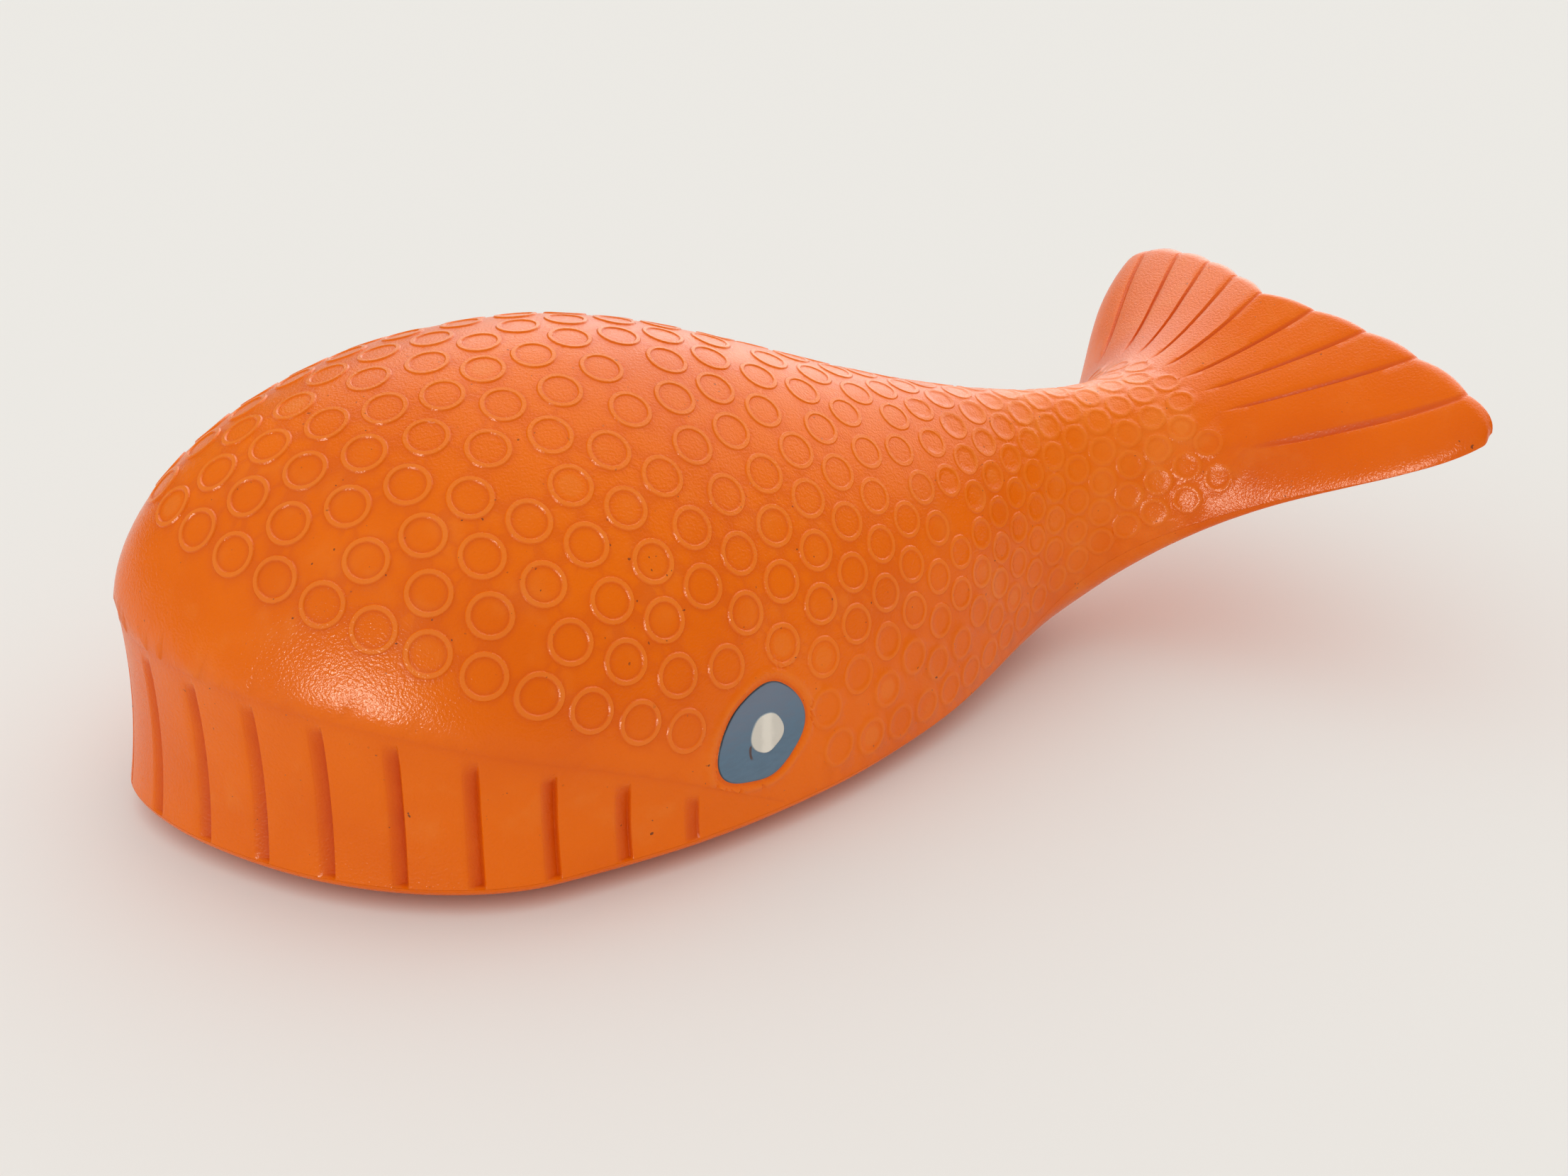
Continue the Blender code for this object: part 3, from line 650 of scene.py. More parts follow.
class Rings:
    """The moulded rings of the back: a row along the brow and the seam, and rings in the gaps above it."""

    FOREHEAD_END = 50 * MM
    BROW_END = (66 * MM, 88 * MM)
    TAPER = (62 * MM, 128 * MM)
    LOW_HEIGHT = (27 * MM, 13 * MM)
    LOW_PLACE = (40 * MM, 70 * MM)
    EYE_CLEARANCE = 9.4 * MM
    BORDER_SLACK = 0.15 * MM
    CLOSEST = 0.9
    NEIGHBOUR = 1.7

    def __init__(self, dome, scales, eyes):
        self.dome, self.scales, self.eyes = dome, scales, eyes
        form = dome.form
        rows = rows_to(dome.rows[-1], 260, 420, 1.3)
        self.border_places = form.outline(rows)[0]
        self.border = kdtree.KDTree(2 * len(rows))
        for side in (-1, 1):
            for i, spot in enumerate(form.back(rows, np.full(len(rows), float(side)))):
                self.border.insert(spot, i)
        self.border.balance()
        self.uv = []
        self.spots = []
        self.lay()

    def margin(self, place):
        """Smooth skin between the border and the first ring."""
        scales = self.scales
        nose = np.clip(1 - place / self.FOREHEAD_END, 0, 1) ** 1.5
        brow = scales.cheek + (scales.forehead - scales.cheek) * nose
        return brow + (scales.edge - brow) * ramp(place, *self.BROW_END)

    def depth(self, spot):
        """How far a spot lies inside the first ring's line."""
        _, index, distance = self.border.find(spot)
        return distance - self.margin(self.border_places[index])

    def tail_share(self, place):
        return ramp(place, *self.TAPER)

    def tapered(self, head, tail, place):
        """A size that changes from the head to the tail stock."""
        return head + (tail - head) * self.tail_share(place)

    def pitch(self, place):
        return self.tapered(self.scales.head_pitch, self.scales.tail_pitch, place)

    def radius(self, place):
        return self.tapered(self.scales.head_ring, self.scales.tail_ring, place) / 2

    def softness(self, spot):
        """How far a ring is smoothed down: on the tail stock and low on the flanks."""
        place = self.place(spot)
        low = ramp(spot[2], *self.LOW_HEIGHT) * ramp(place, *self.LOW_PLACE)
        return max(self.tail_share(place), low)

    def rise(self, spot):
        """Height of a ring's rim."""
        return self.scales.rim_rise * (1 - self.scales.tail_fade * self.softness(spot))

    def place(self, spot):
        return spot[0] + self.dome.form.middle_at

    def allowed(self, spot):
        """Whether a ring may stand here: inside the scaled skin and off the eyes."""
        place = self.place(spot)
        if place > self.scales.end_at or self.depth(spot) < -self.BORDER_SLACK:
            return False
        reach = self.EYE_CLEARANCE + 0.3 * self.radius(place)
        return all((Vector(spot) - eye).length > reach for eye in self.eyes)

    def clear(self, spot):
        """Whether a new ring may stand here: allowed, and off the other rings."""
        if not self.allowed(spot):
            return False
        if not self.spots:
            return True
        nearest = np.min(np.linalg.norm(np.array(self.spots) - spot, axis=1))
        return nearest > self.CLOSEST * self.pitch(self.place(spot))

    def add(self, uv, spot):
        self.uv.append(np.array(uv, float))
        self.spots.append(np.array(spot, float))

    def first_line(self, side):
        """u and v of the first row's line, found by halving along rays from the back's middle."""
        centre, farthest, stride = 80 * MM, 95 * MM, 4
        reach = np.linspace(0, farthest, 96)
        line = []
        for angle in np.linspace(math.pi, 0.02, 260):
            along, across = math.cos(angle), side * math.sin(angle)
            spots = self.dome.spots(centre + reach[::stride] * along, reach[::stride] * across)
            last = stride * max(i for i, spot in enumerate(spots) if self.depth(spot) > 0)
            low, high = reach[last], reach[min(last + stride, len(reach) - 1)]
            for _ in range(9):
                middle = (low + high) / 2
                spot = self.dome.spots(centre + middle * along, middle * across)[0]
                low, high = (middle, high) if self.depth(spot) > 0 else (low, middle)
            line.append((centre + low * along, low * across))
        line = np.array(line)
        fine = np.linspace(0, len(line) - 1, 3000)
        return np.stack([np.interp(fine, np.arange(len(line)), line[:, i]) for i in (0, 1)], axis=1)

    def first_row(self):
        """The row along the brow and the seam, walked from the spine to the tail on both sides."""
        for side in (-1, 1):
            line = self.first_line(side)
            spots = self.dome.spots(line[:, 0], line[:, 1])
            last, lead = spots[0], 0.5
            for uv, spot in zip(line, spots):
                if np.linalg.norm(spot - last) >= lead * self.pitch(self.place(spot)):
                    last, lead = spot, 1
                    if self.clear(spot):
                        self.add(uv, spot)

    def gaps(self, a, b):
        """The two places that touch ring a and ring b."""
        widest, wanted, shortest = 1.9, 1.05, 0.6
        u, v = (self.uv[a] + self.uv[b]) / 2
        _, along, over, _ = self.dome.frame(u, v)
        stretch = np.array([[along @ along, along @ over], [along @ over, over @ over]])
        metric = np.linalg.cholesky(stretch + 1e-9 * np.eye(2))
        first, second = metric.T @ self.uv[a], metric.T @ self.uv[b]
        apart = np.linalg.norm(second - first)
        pitch = self.pitch(self.place((self.spots[a] + self.spots[b]) / 2))
        if apart < 1e-6 or apart > widest * pitch:
            return []
        reach = math.sqrt(max((wanted * pitch) ** 2 - apart**2 / 4, (shortest * pitch) ** 2))
        across = np.array([first[1] - second[1], second[0] - first[0]]) / apart
        back = np.linalg.inv(metric.T)
        return [back @ ((first + second) / 2 + sign * reach * across) for sign in (-1, 1)]

    def lay(self):
        """Lays the first row, fills the skin inside it and evens out the gaps."""
        self.first_row()
        first = len(self.spots)
        for _ in range(3):
            self.fill()
            self.settle(first)

    def offers(self, new):
        """Free places beside a ring, as (depth, uv, spot)."""
        spots = np.array(self.spots)
        apart = np.linalg.norm(spots - spots[new], axis=1)
        reach = self.NEIGHBOUR * self.pitch(self.place(spots[new]))
        found = []
        for other in np.nonzero((apart > 0) & (apart < reach))[0]:
            for uv in self.gaps(new, int(other)):
                if 0 < uv[0] < self.dome.u[-1]:
                    spot = self.dome.spots(*uv)[0]
                    if self.clear(spot):
                        found.append((self.depth(spot), tuple(uv), spot))
        return found

    def fill(self):
        """Puts rings into gaps of the rings that lie, nearest the border first."""
        waiting = []
        for i in range(len(self.spots)):
            waiting += self.offers(i)
        while waiting:
            waiting.sort(key=lambda item: item[0])
            _, uv, spot = waiting.pop(0)
            if self.clear(spot):
                self.add(uv, spot)
                waiting += self.offers(len(self.spots) - 1)
                waiting = [item for item in waiting if self.clear(item[2])]

    def settle(self, first):
        """Lets rings that lie close push each other apart. The first row stays."""
        rounds, step = 30, 0.2 * MM
        wanted, pace = 1.1, 0.2
        for _ in range(rounds):
            uv, spots = np.array(self.uv), np.array(self.spots)
            pitch = self.pitch(self.place(spots.T))
            apart = spots[:, None] - spots[None]
            distance = np.linalg.norm(apart, axis=2) + np.eye(len(spots))
            push = np.clip(wanted * (pitch[:, None] + pitch[None]) / 2 - distance, 0, None)
            move = pace * np.einsum("ij,ijk->ik", push / distance, apart)
            along = (self.dome.spots(uv[:, 0] + step, uv[:, 1]) - spots) / step
            over = (self.dome.spots(uv[:, 0], uv[:, 1] + step) - spots) / step
            skew = dots(along, over)
            wide = dots(along, along) * dots(over, over) - skew**2
            du = (dots(over, over) * dots(move, along) - skew * dots(move, over)) / wide
            dv = (dots(along, along) * dots(move, over) - skew * dots(move, along)) / wide
            moved = uv + np.stack([du, dv], axis=1)
            moved[:, 0] = np.clip(moved[:, 0], 0, self.dome.u[-1] - step)
            for i, spot in enumerate(self.dome.spots(moved[:, 0], moved[:, 1])):
                if i >= first and self.allowed(spot):
                    self.uv[i], self.spots[i] = moved[i], spot


def ring_relief(scales, distance, radius, rise):
    """Height over the skin at a distance from a ring's middle."""
    inward = radius - distance
    outer = ramp(inward, 0, scales.rim_wall)
    inner = ramp(inward, scales.rim_width - scales.rim_wall, scales.rim_width)
    return rise * outer + (scales.disc_rise - rise) * inner


Dab = namedtuple("Dab", "long short slant seed")


def iris_dab(eye, seed):
    return Dab(eye.long, eye.short, eye.slant, seed)


def pupil_dab(eye, seed):
    return Dab(eye.pupil_long, eye.pupil_short, eye.slant / 2, seed + PUPIL_SEED_STEP)


def dab_outline(dab, angle):
    """Distance from the middle of a brush-painted oval to its edge."""
    swing = np.cos(angle) ** 2 / (dab.long / 2) ** 2 + np.sin(angle) ** 2 / (dab.short / 2) ** 2
    wobble = 1 + 0.021 * np.sin(3 * angle + dab.seed) + 0.012 * np.cos(4 * angle + 1.1)
    wobble = wobble + 0.02 * np.sin(5 * angle + 1.6 * dab.seed)
    return wobble / np.sqrt(swing)


def dab_offsets(dab, angle, reach):
    """Tangent offsets (toward the tail, up) of points at a share of a painted oval's outline."""
    out = dab_outline(dab, angle) * reach
    along, aside = out * np.cos(angle), out * np.sin(angle)
    cosine, sine = math.cos(dab.slant), math.sin(dab.slant)
    return np.stack([along * cosine - aside * sine, along * sine + aside * cosine], axis=-1)


def linked(name, data):
    """A new object in the scene."""
    made = bpy.data.objects.new(name, data)
    bpy.context.scene.collection.objects.link(made)
    return made


class Skin:
    """A mesh put together from grids and strips that share their edges."""

    WELD = 1e-6

    def __init__(self):
        self.spots, self.tone, self.faces, self.count = [], [], [], 0
        self.soft = []

    def add(self, spots, tone=0.0):
        """Points with a tone: above 0 for painted shade and grime in creases and hollows, below 0 for skin
        that is rubbed pale.
        """
        spots = np.asarray(spots).reshape(-1, 3)
        self.spots.append(spots)
        self.tone.append(np.broadcast_to(np.asarray(tone, float).ravel(), (len(spots),)))
        self.count += len(spots)
        return np.arange(self.count - len(spots), self.count)

    def grid(self, spots, tone=0.0):
        ids = self.add(spots, tone).reshape(spots.shape[:2])
        corners = (ids[:-1, :-1], ids[:-1, 1:], ids[1:, 1:], ids[1:, :-1])
        self.faces += np.stack([c.ravel() for c in corners], axis=1).tolist()
        return ids

    def grid_between(self, first, second):
        """Faces between two lines of the same count."""
        self.faces += np.stack([first[:-1], first[1:], second[1:], second[:-1]], axis=1).tolist()

    def strip(self, first, first_marks, second, second_marks):
        """Triangles between two edges whose points carry marks that grow along both."""
        i = j = 0
        while i < len(first) - 1 or j < len(second) - 1:
            step_first = j == len(second) - 1
            if i < len(first) - 1 and j < len(second) - 1:
                step_first = first_marks[i + 1] <= second_marks[j + 1]
            if step_first:
                self.faces.append([first[i], first[i + 1], second[j]])
                i += 1
            else:
                self.faces.append([first[i], second[j + 1], second[j]])
                j += 1

    def build(self, name):
        mesh = bmesh.new()
        layer = mesh.verts.layers.float.new("tone")
        verts = []
        for spot, tone in zip(np.concatenate(self.spots), np.concatenate(self.tone)):
            vert = mesh.verts.new(spot)
            vert[layer] = tone
            verts.append(vert)
        for face in self.faces:
            mesh.faces.new([verts[i] for i in face])
        bmesh.ops.remove_doubles(mesh, verts=mesh.verts, dist=self.WELD)
        loose = [vert for vert in mesh.verts if not vert.link_faces]
        bmesh.ops.delete(mesh, geom=loose, context="VERTS")
        bmesh.ops.recalc_face_normals(mesh, faces=mesh.faces)
        mesh.verts.index_update()
        soft = [verts[i].index for i in self.soft if verts[i].is_valid]
        data = bpy.data.meshes.new(name)
        mesh.to_mesh(data)
        mesh.free()
        data.shade_smooth()
        data.set_sharp_from_angle(angle=SHARP_ANGLE)
        self.soften(data, soft)
        return linked(name, data)

    def soften(self, data, soft):
        """Takes the hard shading off the edges between soft points."""
        chosen = np.zeros(len(data.vertices), bool)
        chosen[soft] = True
        ends = np.empty(2 * len(data.edges), np.int32)
        data.edges.foreach_get("vertices", ends)
        hard = np.empty(len(data.edges), bool)
        sharp = data.attributes["sharp_edge"].data
        sharp.foreach_get("value", hard)
        sharp.foreach_set("value", hard & ~chosen[ends.reshape(-1, 2)].all(axis=1))


def waver(made, amount):
    """Slow waves in the skin, away from the body's axis, so that both shells move alike where they meet."""
    slow, quick = 75, 190
    axis = np.array([0, 0, 20 * MM])
    calm_height, full_height = 0.3 * MM, 4 * MM
    data = made.data
    spots = np.empty(len(data.vertices) * 3, np.float32)
    data.vertices.foreach_get("co", spots)
    spots = spots.reshape(-1, 3)
    waves = np.array([noise.noise(Vector(s) * slow) + 0.5 * noise.noise(Vector(s) * quick) for s in spots])
    out = spots - axis
    out[:, 0] = 0
    out /= np.maximum(np.linalg.norm(out, axis=1, keepdims=True), MM)
    spots += out * (amount * waves * ramp(spots[:, 2], calm_height, full_height))[:, None]
    data.vertices.foreach_set("co", spots.ravel())
    data.update()


def displaced(spots, faces, heights):
    """Spots moved along the normals of their faces."""
    tris = np.asarray(faces)
    a, b, c = (spots[tris[:, i]] for i in range(3))
    normal = np.cross(b - a, c - a)
    total = np.zeros_like(spots)
    for i in range(3):
        np.add.at(total, tris[:, i], normal)
    total /= np.maximum(np.linalg.norm(total, axis=1, keepdims=True), 1e-20)
    return spots + total * heights[:, None]


def eye_spots(dome, eye):
    """The middle of both eyes, as (side, seed, u, v)."""
    for side, seed in zip((-1, 1), EYE_SEEDS):
        yield side, seed, *dome.find(eye.place, eye.height, side)


def dome_points(dome, rings, rows, end_columns, toy):
    """u, v, height, tone and ring of the points of the scaled back. The border comes first, as one loop."""
    scales, eye = toy.scales, toy.eye
    near = np.stack(dome.unroll(rows, np.full(len(rows), -1.0)), axis=1)
    end = np.stack(dome.unroll(np.full(len(end_columns) - 2, rows[-1]), end_columns[1:-1]), axis=1)
    far = near[:0:-1] * (1, -1)
    border = np.concatenate([near, end, far])
    points = []

    def add(u, v, height, tone, ring=-1):
        points.append(np.column_stack(np.broadcast_arrays(u, v, height, tone, ring)).astype(float))

    # The crease at the border and a strip inside it get painted shade, fading inward.
    painted_crease_shade, spine_gap, end_gap = 0.3, 0.4 * MM, 0.3 * MM
    add(border[:, 0], border[:, 1], 0, painted_crease_shade)
    crease_fade = 0.5 * MM
    for inward in np.array([0.25, 0.6, 1.1, 1.7, 2.5]) * MM:
        line = near[::3] + (0, inward)
        line = line[(line[:, 1] < -spine_gap) & (line[:, 0] < near[-1, 0] - end_gap)]
        for side in (1, -1):
            add(line[:, 0], side * line[:, 1], 0, painted_crease_shade * math.exp(-inward / crease_fade))
    for number, (uv, spot) in enumerate(zip(rings.uv, rings.spots)):
        place = rings.place(spot)
        radius = rings.radius(place)
        top, floor = rings.rise(spot), scales.disc_rise
        inner = radius - scales.rim_width
        clear = 1 - 0.6 * rings.softness(spot)
        is_pale = number * 0.618 % 1 < 0.06
        disc = -0.6 if is_pale else 0
        # Each ring's outer and inner foot gets painted shade through its tone; the rim top is rubbed pale.
        levels = (
            (radius, 0, 0.4 * clear),
            (radius - scales.rim_wall, top, -clear),
            (inner + scales.rim_wall, top, -clear),
            (inner, floor, 0.45 * clear),
            (inner * 0.6, floor, disc),
        )
        for reach, height, tone in levels:
            count = max(22, int(11.5 * radius / MM)) if reach >= inner else 11
            angle = 2 * math.pi * np.arange(count) / count
            u, v = dome.ring(uv[0], uv[1], reach * np.stack([np.cos(angle), np.sin(angle)], axis=1))
            add(u, v, height, tone, number)
        add(uv[0], uv[1], floor, disc, number)
    lid_at, lid_width, line_width = 1.15, 0.07, 0.05
    for _, seed, u, v in eye_spots(dome, eye):
        angle = np.linspace(0, 2 * math.pi, 65)[:-1]
        for reach in (0.3, 0.6, 0.85, 0.97, 1.03, 1.08, 1.13, 1.18, 1.23, 1.3, 1.42):
            tail_u, up_v = dome.ring(u, v, dab_offsets(iris_dab(eye, seed), angle, reach))
            lid = math.exp(-(((reach - lid_at) / lid_width) ** 2))
            line = math.exp(-(((reach - 1.0) / line_width) ** 2))
            # Painted shade in a thin line at the paint's edge; the ridge round the eye is rubbed pale.
            add(tail_u, up_v, eye.lid_rise * lid, 0.8 * line - 0.6 * lid)
    return np.concatenate(points), len(border)


def filler(dome, rings, middles, near, eyes):
    """u and v of plain points between the rings, off the border and off the eyes."""
    pitch, border_gap, ring_gap, eye_gap = 1.6 * MM, 3.3 * MM, 0.34 * MM, 9.0 * MM
    made = []
    for i, u in enumerate(np.arange(0.8 * MM, dome.u[-1] - 0.9 * MM, pitch * 0.87)):
        limit = -np.interp(u, near[:, 0], near[:, 1]) - border_gap
        if limit <= 0:
            continue
        v = np.arange(-70, 70) * pitch + (i % 2) * pitch / 2
        v = v[np.abs(v) < limit]
        for spot, across in zip(dome.spots(np.full(len(v), u), v), v):
            _, index, distance = middles.find(spot)
            if distance < rings.radius(rings.place(rings.spots[index])) + ring_gap:
                continue
            if any((Vector(spot) - eye).length < eye_gap for eye in eyes):
                continue
            made.append((u, across))
    return np.array(made)


def overlapped(rings, middles, spots, used):
    """Heights of the points, raised where the rim of another ring crosses theirs."""
    reach = 3.3 * MM
    heights = used[:, 2].copy()
    for i, spot in enumerate(spots):
        for _, index, distance in middles.find_range(spot, reach):
            if index != used[i, 4]:
                other = rings.spots[index]
                radius = rings.radius(rings.place(other))
                relief = ring_relief(rings.scales, distance, radius, rings.rise(other))
                heights[i] = max(heights[i], float(relief))
    return heights


def scaled_back(skin, toy, dome, rows, columns):
    """Adds the domed skin with its rings, and returns its border as one loop of points."""
    eyes = [Vector(dome.spots(u, v)[0]) for _, _, u, v in eye_spots(dome, toy.eye)]
    rings = Rings(dome, toy.scales, eyes)
    middles = kdtree.KDTree(len(rings.spots))
    for i, spot in enumerate(rings.spots):
        middles.insert(spot, i)
    middles.balance()
    points, border = dome_points(dome, rings, rows, columns, toy)
    plain = filler(dome, rings, middles, points[: len(rows), :2], eyes)
    plain = np.column_stack([plain, np.zeros((len(plain), 2)), -np.ones(len(plain))])
    points = np.concatenate([points, plain])
    loop = [(i, (i + 1) % border) for i in range(border)]
    flat = [Vector((u, v)) for u, v in points[:, :2] / MM]
    _, _, faces, origin, _, _ = delaunay_2d_cdt(flat, loop, [], 1, 1e-5)
    source = np.array([ids[0] if ids else -1 for ids in origin])
    if (source < 0).any():
        raise RuntimeError("The skin of the back crosses its own border")
    used = points[source]
    row, column = dome.roll_up(used[:, 0], used[:, 1])
    first = {int(s): i for i, s in enumerate(source)}
    on_border = np.array([first[i] for i in range(border)])
    row[on_border] = np.concatenate([rows, np.full(len(columns) - 2, rows[-1]), rows[:0:-1]])
    sides = np.full(len(rows), -1.0), columns[1:-1], np.full(len(rows) - 1, 1.0)
    column[on_border] = np.concatenate(sides)
    spots = dome.form.back(row, column)
    heights = overlapped(rings, middles, spots, used)
    heights[on_border] = 0
    ids = skin.add(displaced(spots, faces, heights), used[:, 3])
    skin.faces += ids[np.array(faces)].tolist()
    return ids[on_border]


def grooved_band(skin, form, rows, groove, edge):
    """Adds the band under the brow on both sides, and returns each side's rim with its rows."""
    share = (1 - np.cos(np.linspace(0, math.pi, 15))) / 2
    band = np.nonzero(rows <= form.row_at(form.head.brow_length) + 1e-9)[0]
    place, _ = form.outline(rows[band, None])
    tall = form.back_base(place, 0) - form.parting(place, 0)
    # Painted shade along the grooves and in a strip under the brow.
    painted_groove_shade = np.sqrt(groove[band, None]) * form.groove_ends(tall, share[None, :])
    painted_groove_shade = np.clip(painted_groove_shade + 0.35 * share[None, :] ** 12, 0, 1)
    rims = {}
    for side in (-1, 1):
        ids = skin.grid(form.band(rows[band, None], side, share[None, :], groove[band, None]), painted_groove_shade)
        behind = edge[: len(rows)] if side < 0 else np.concatenate([edge[:1], edge[: -len(rows) : -1]])
        skin.soft += [*ids[:, -1], *behind[: len(band)]]
        rims[side] = (np.concatenate([ids[:, 0], behind[len(band) :]]), rows)
    return rims


def fluke_top(skin, form, columns, rims):
    """Adds the fluke's upper side, lengthens both rims by its sides and returns its trailing edge."""
    rows = fluke_rows(form)
    place, _ = form.outline(rows)
    relief = form.ray_relief(place[:, None], columns[None, :])
    spots = form.back(rows[:, None], columns[None, :])
    spots[..., 2] += relief
    ids = skin.grid(spots, form.painted_ray_shade(relief))
    for side, line in ((-1, ids[:, 0]), (1, ids[:, -1])):
        rim, marks = rims[side]
        rims[side] = (np.concatenate([rim, line[1:]]), np.concatenate([marks, rows[1:]]))
    return ids[-1]


def close(skin, form, rims, end, upper):
    """The inner skin of a shell, joined to its rim all round."""
    rows = rows_to(form.row_at(form.notch_at - 1.6 * MM), 26, 46, 1.2)
    inner = -LAND * np.cos(np.linspace(0, math.pi, 23))[1:-1]
    columns = np.concatenate([[-1, -LAND], inner, [LAND, 1]])
    lid = skin.grid(form.lid(rows[:, None], columns[None, :], upper))
    for side, line in ((-1, lid[:, 0]), (1, lid[:, -1])):
        skin.strip(*rims[side], line, rows)
    skin.strip(*end, lid[-1], columns)


def make_back(toy):
    """The back half: domed skin with rings, brow, grooved band and upper side of the fluke."""
    form = Form(toy)
    rows, groove = band_rows(form)
    columns = fluke_columns(form)
    skin = Skin()
    edge = scaled_back(skin, toy, Dome(form), rows, columns)
    rims = grooved_band(skin, form, rows, groove, edge)
    end = fluke_top(skin, form, columns, rims)
    close(skin, form, rims, (end, columns), True)
    made = skin.build("back_skin")
    waver(made, toy.body.unevenness)
    return made


def make_belly(toy):
    """The belly half: flat bottom, tail stock and underside of the fluke."""
    form = Form(toy)
    rows = np.concatenate([rows_to(form.rays_row, 71, 61, 1.2), fluke_rows(form)[1:]])
    columns = fluke_columns(form)
    place, _ = form.outline(rows)
    skin = Skin()
    parts = {-1: columns[columns <= 0], 1: columns[columns >= 0]}
    halves = {}
    for side, part in parts.items():
        leaning = np.where(part == 0, side * 1e-12, part)
        spots = form.belly(rows[:, None], leaning[None, :])
        relief = form.ray_relief(place[:, None], part[None, :])
        spots[..., 2] -= relief
        halves[side] = skin.grid(spots, form.painted_ray_shade(relief))
    near, far = halves[-1], halves[1]
    skin.grid_between(near[:, -1], far[:, 0])
    rims = {-1: (near[:, 0], rows), 1: (far[:, -1], rows)}
    end = (np.concatenate([near[-1], far[-1]]), np.concatenate([parts[-1], parts[1]]))
    close(skin, form, rims, end, False)
    made = skin.build("belly_skin")
    waver(made, toy.body.unevenness)
    return made


def paint_patch(name, dome, u, v, film, dab, lift, shift=(0.0, 0.0)):
    """A closed film of paint on the back: thickest inside its edge, with the edge sunk into the skin."""
    angle = np.linspace(0, 2 * math.pi, 97)[:-1]
    edge = [(1.0, -0.6), (0.985, 0.25), (0.96, 0.85), (0.92, 1.1)]
    steps = edge + [(0.8, 1.0), (0.6, 1.0), (0.4, 1.05), (0.2, 1.0)]
    back_depth = -5 * film
    count = len(angle)
    spots, marks, faces = [], [], []
    for number, (share, thick) in enumerate(steps):
        offsets = dab_offsets(dab, angle, share) + np.array(shift)
        tail_u, up_v = dome.ring(u, v, offsets)
        line = dome.spots(tail_u, up_v)
        for k in range(count):
            _, _, _, normal = dome.frame(tail_u[k], up_v[k])
            spots.append(line[k] + normal * (lift + film * thick))
            marks.append((*(offsets[k] / MM), share))
        if number:
            for k in range(count):
                a, b = (number - 1) * count + k, (number - 1) * count + (k + 1) % count
                faces.append([a, b, b + count, a + count])
    here, _, _, normal = dome.frame(*[float(t[0]) for t in dome.ring(u, v, np.array([shift]))])
    last = (len(steps) - 1) * count
    for height, line in ((lift + film, last), (back_depth, 0)):
        spots.append(here + normal * height)
        marks.append((shift[0] / MM, shift[1] / MM, 0))
        faces += [[line + k, line + (k + 1) % count, len(spots) - 1] for k in range(count)]
    mesh = bpy.data.meshes.new(name)
    mesh.from_pydata([tuple(s) for s in spots], [], faces)
    attribute = mesh.attributes.new("paint", "FLOAT_VECTOR", "POINT")
    attribute.data.foreach_set("vector", np.array(marks, float).ravel())
    mesh.shade_smooth()
    mesh.update()
    work = bmesh.new()
    work.from_mesh(mesh)
    bmesh.ops.recalc_face_normals(work, faces=work.faces)
    work.to_mesh(mesh)
    work.free()
    return linked(name, mesh)


class Value:
    """A shader socket that takes part in Python expressions."""

    def __init__(self, finish, socket):
        self.finish, self.socket = finish, socket

    def math(self, operation, first, second):
        return self.finish.node("ShaderNodeMath", {"operation": operation}, {0: first, 1: second})

    def __add__(self, other):
        return self.math("ADD", self, other)

    __radd__ = __add__

    def __sub__(self, other):
        return self.math("SUBTRACT", self, other)

    def __rsub__(self, other):
        return self.math("SUBTRACT", other, self)

    def __mul__(self, other):
        return self.math("MULTIPLY", self, other)

    __rmul__ = __mul__

    def size(self):
        """The value without its sign."""
        return self.math("ABSOLUTE", self, 0)

    def step(self, low, high):
        """0 below low, 1 above high, and an even S between them."""
        sockets = {"Value": self, "From Min": low, "From Max": high}
        return self.finish.node("ShaderNodeMapRange", {"interpolation_type": "SMOOTHSTEP"}, sockets)


class Finish:
    """The nodes of one procedural material, or of the world."""

    def __init__(self, owner, shader="Principled BSDF"):
        self.owner = owner
        owner.use_nodes = True
        self.tree = owner.node_tree
        self.shader = self.tree.nodes[shader]

    def node(self, kind, settings=None, sockets=None, output=0):
        made = self.tree.nodes.new(kind)
        for key, value in (settings or {}).items():
            setattr(made, key, value)
        for key, value in (sockets or {}).items():
            self.set(made.inputs[key], value)
        return Value(self, made.outputs[output])

    def set(self, socket, value):
        if isinstance(value, Value):
            self.tree.links.new(value.socket, socket)
        elif socket.type == "RGBA":
            socket.default_value = (*value, 1.0)
        else:
            socket.default_value = value

    def mix(self, factor, first, second):
        settings = {"data_type": "RGBA", "clamp_factor": True}
        return self.node("ShaderNodeMix", settings, {0: factor, 6: first, 7: second}, 2)

    def spread(self):
        """Places on the piece, in metres."""
        return self.node("ShaderNodeTexCoord", output=3)

    def noise(self, place, scale, detail, roughness):
        sockets = {"Vector": place, "Scale": scale, "Detail": detail, "Roughness": roughness}
        return self.node("ShaderNodeTexNoise", {}, sockets)

    def along(self, place, way):
        """How far a place lies along a direction."""
        return self.node("ShaderNodeVectorMath", {"operation": "DOT_PRODUCT"}, {0: place, 1: way}, 1)

    def part(self, place, axis):
        """One axis of a place."""
        return self.node("ShaderNodeSeparateXYZ", {}, {0: place}, axis)

    def stretched(self, place, factors):
        return self.node("ShaderNodeVectorMath", {"operation": "MULTIPLY"}, {0: place, 1: factors})

    def bump(self, height, distance, strength, normal=None):
        sockets = {"Height": height, "Distance": distance, "Strength": strength}
        if normal is not None:
            sockets["Normal"] = normal
        return self.node("ShaderNodeBump", {}, sockets)

    def shade(self, sockets):
        """Sets the shader's sockets to numbers, or to what changes over the surface."""
        for key, value in sockets.items():
            self.set(self.shader.inputs[key], value)


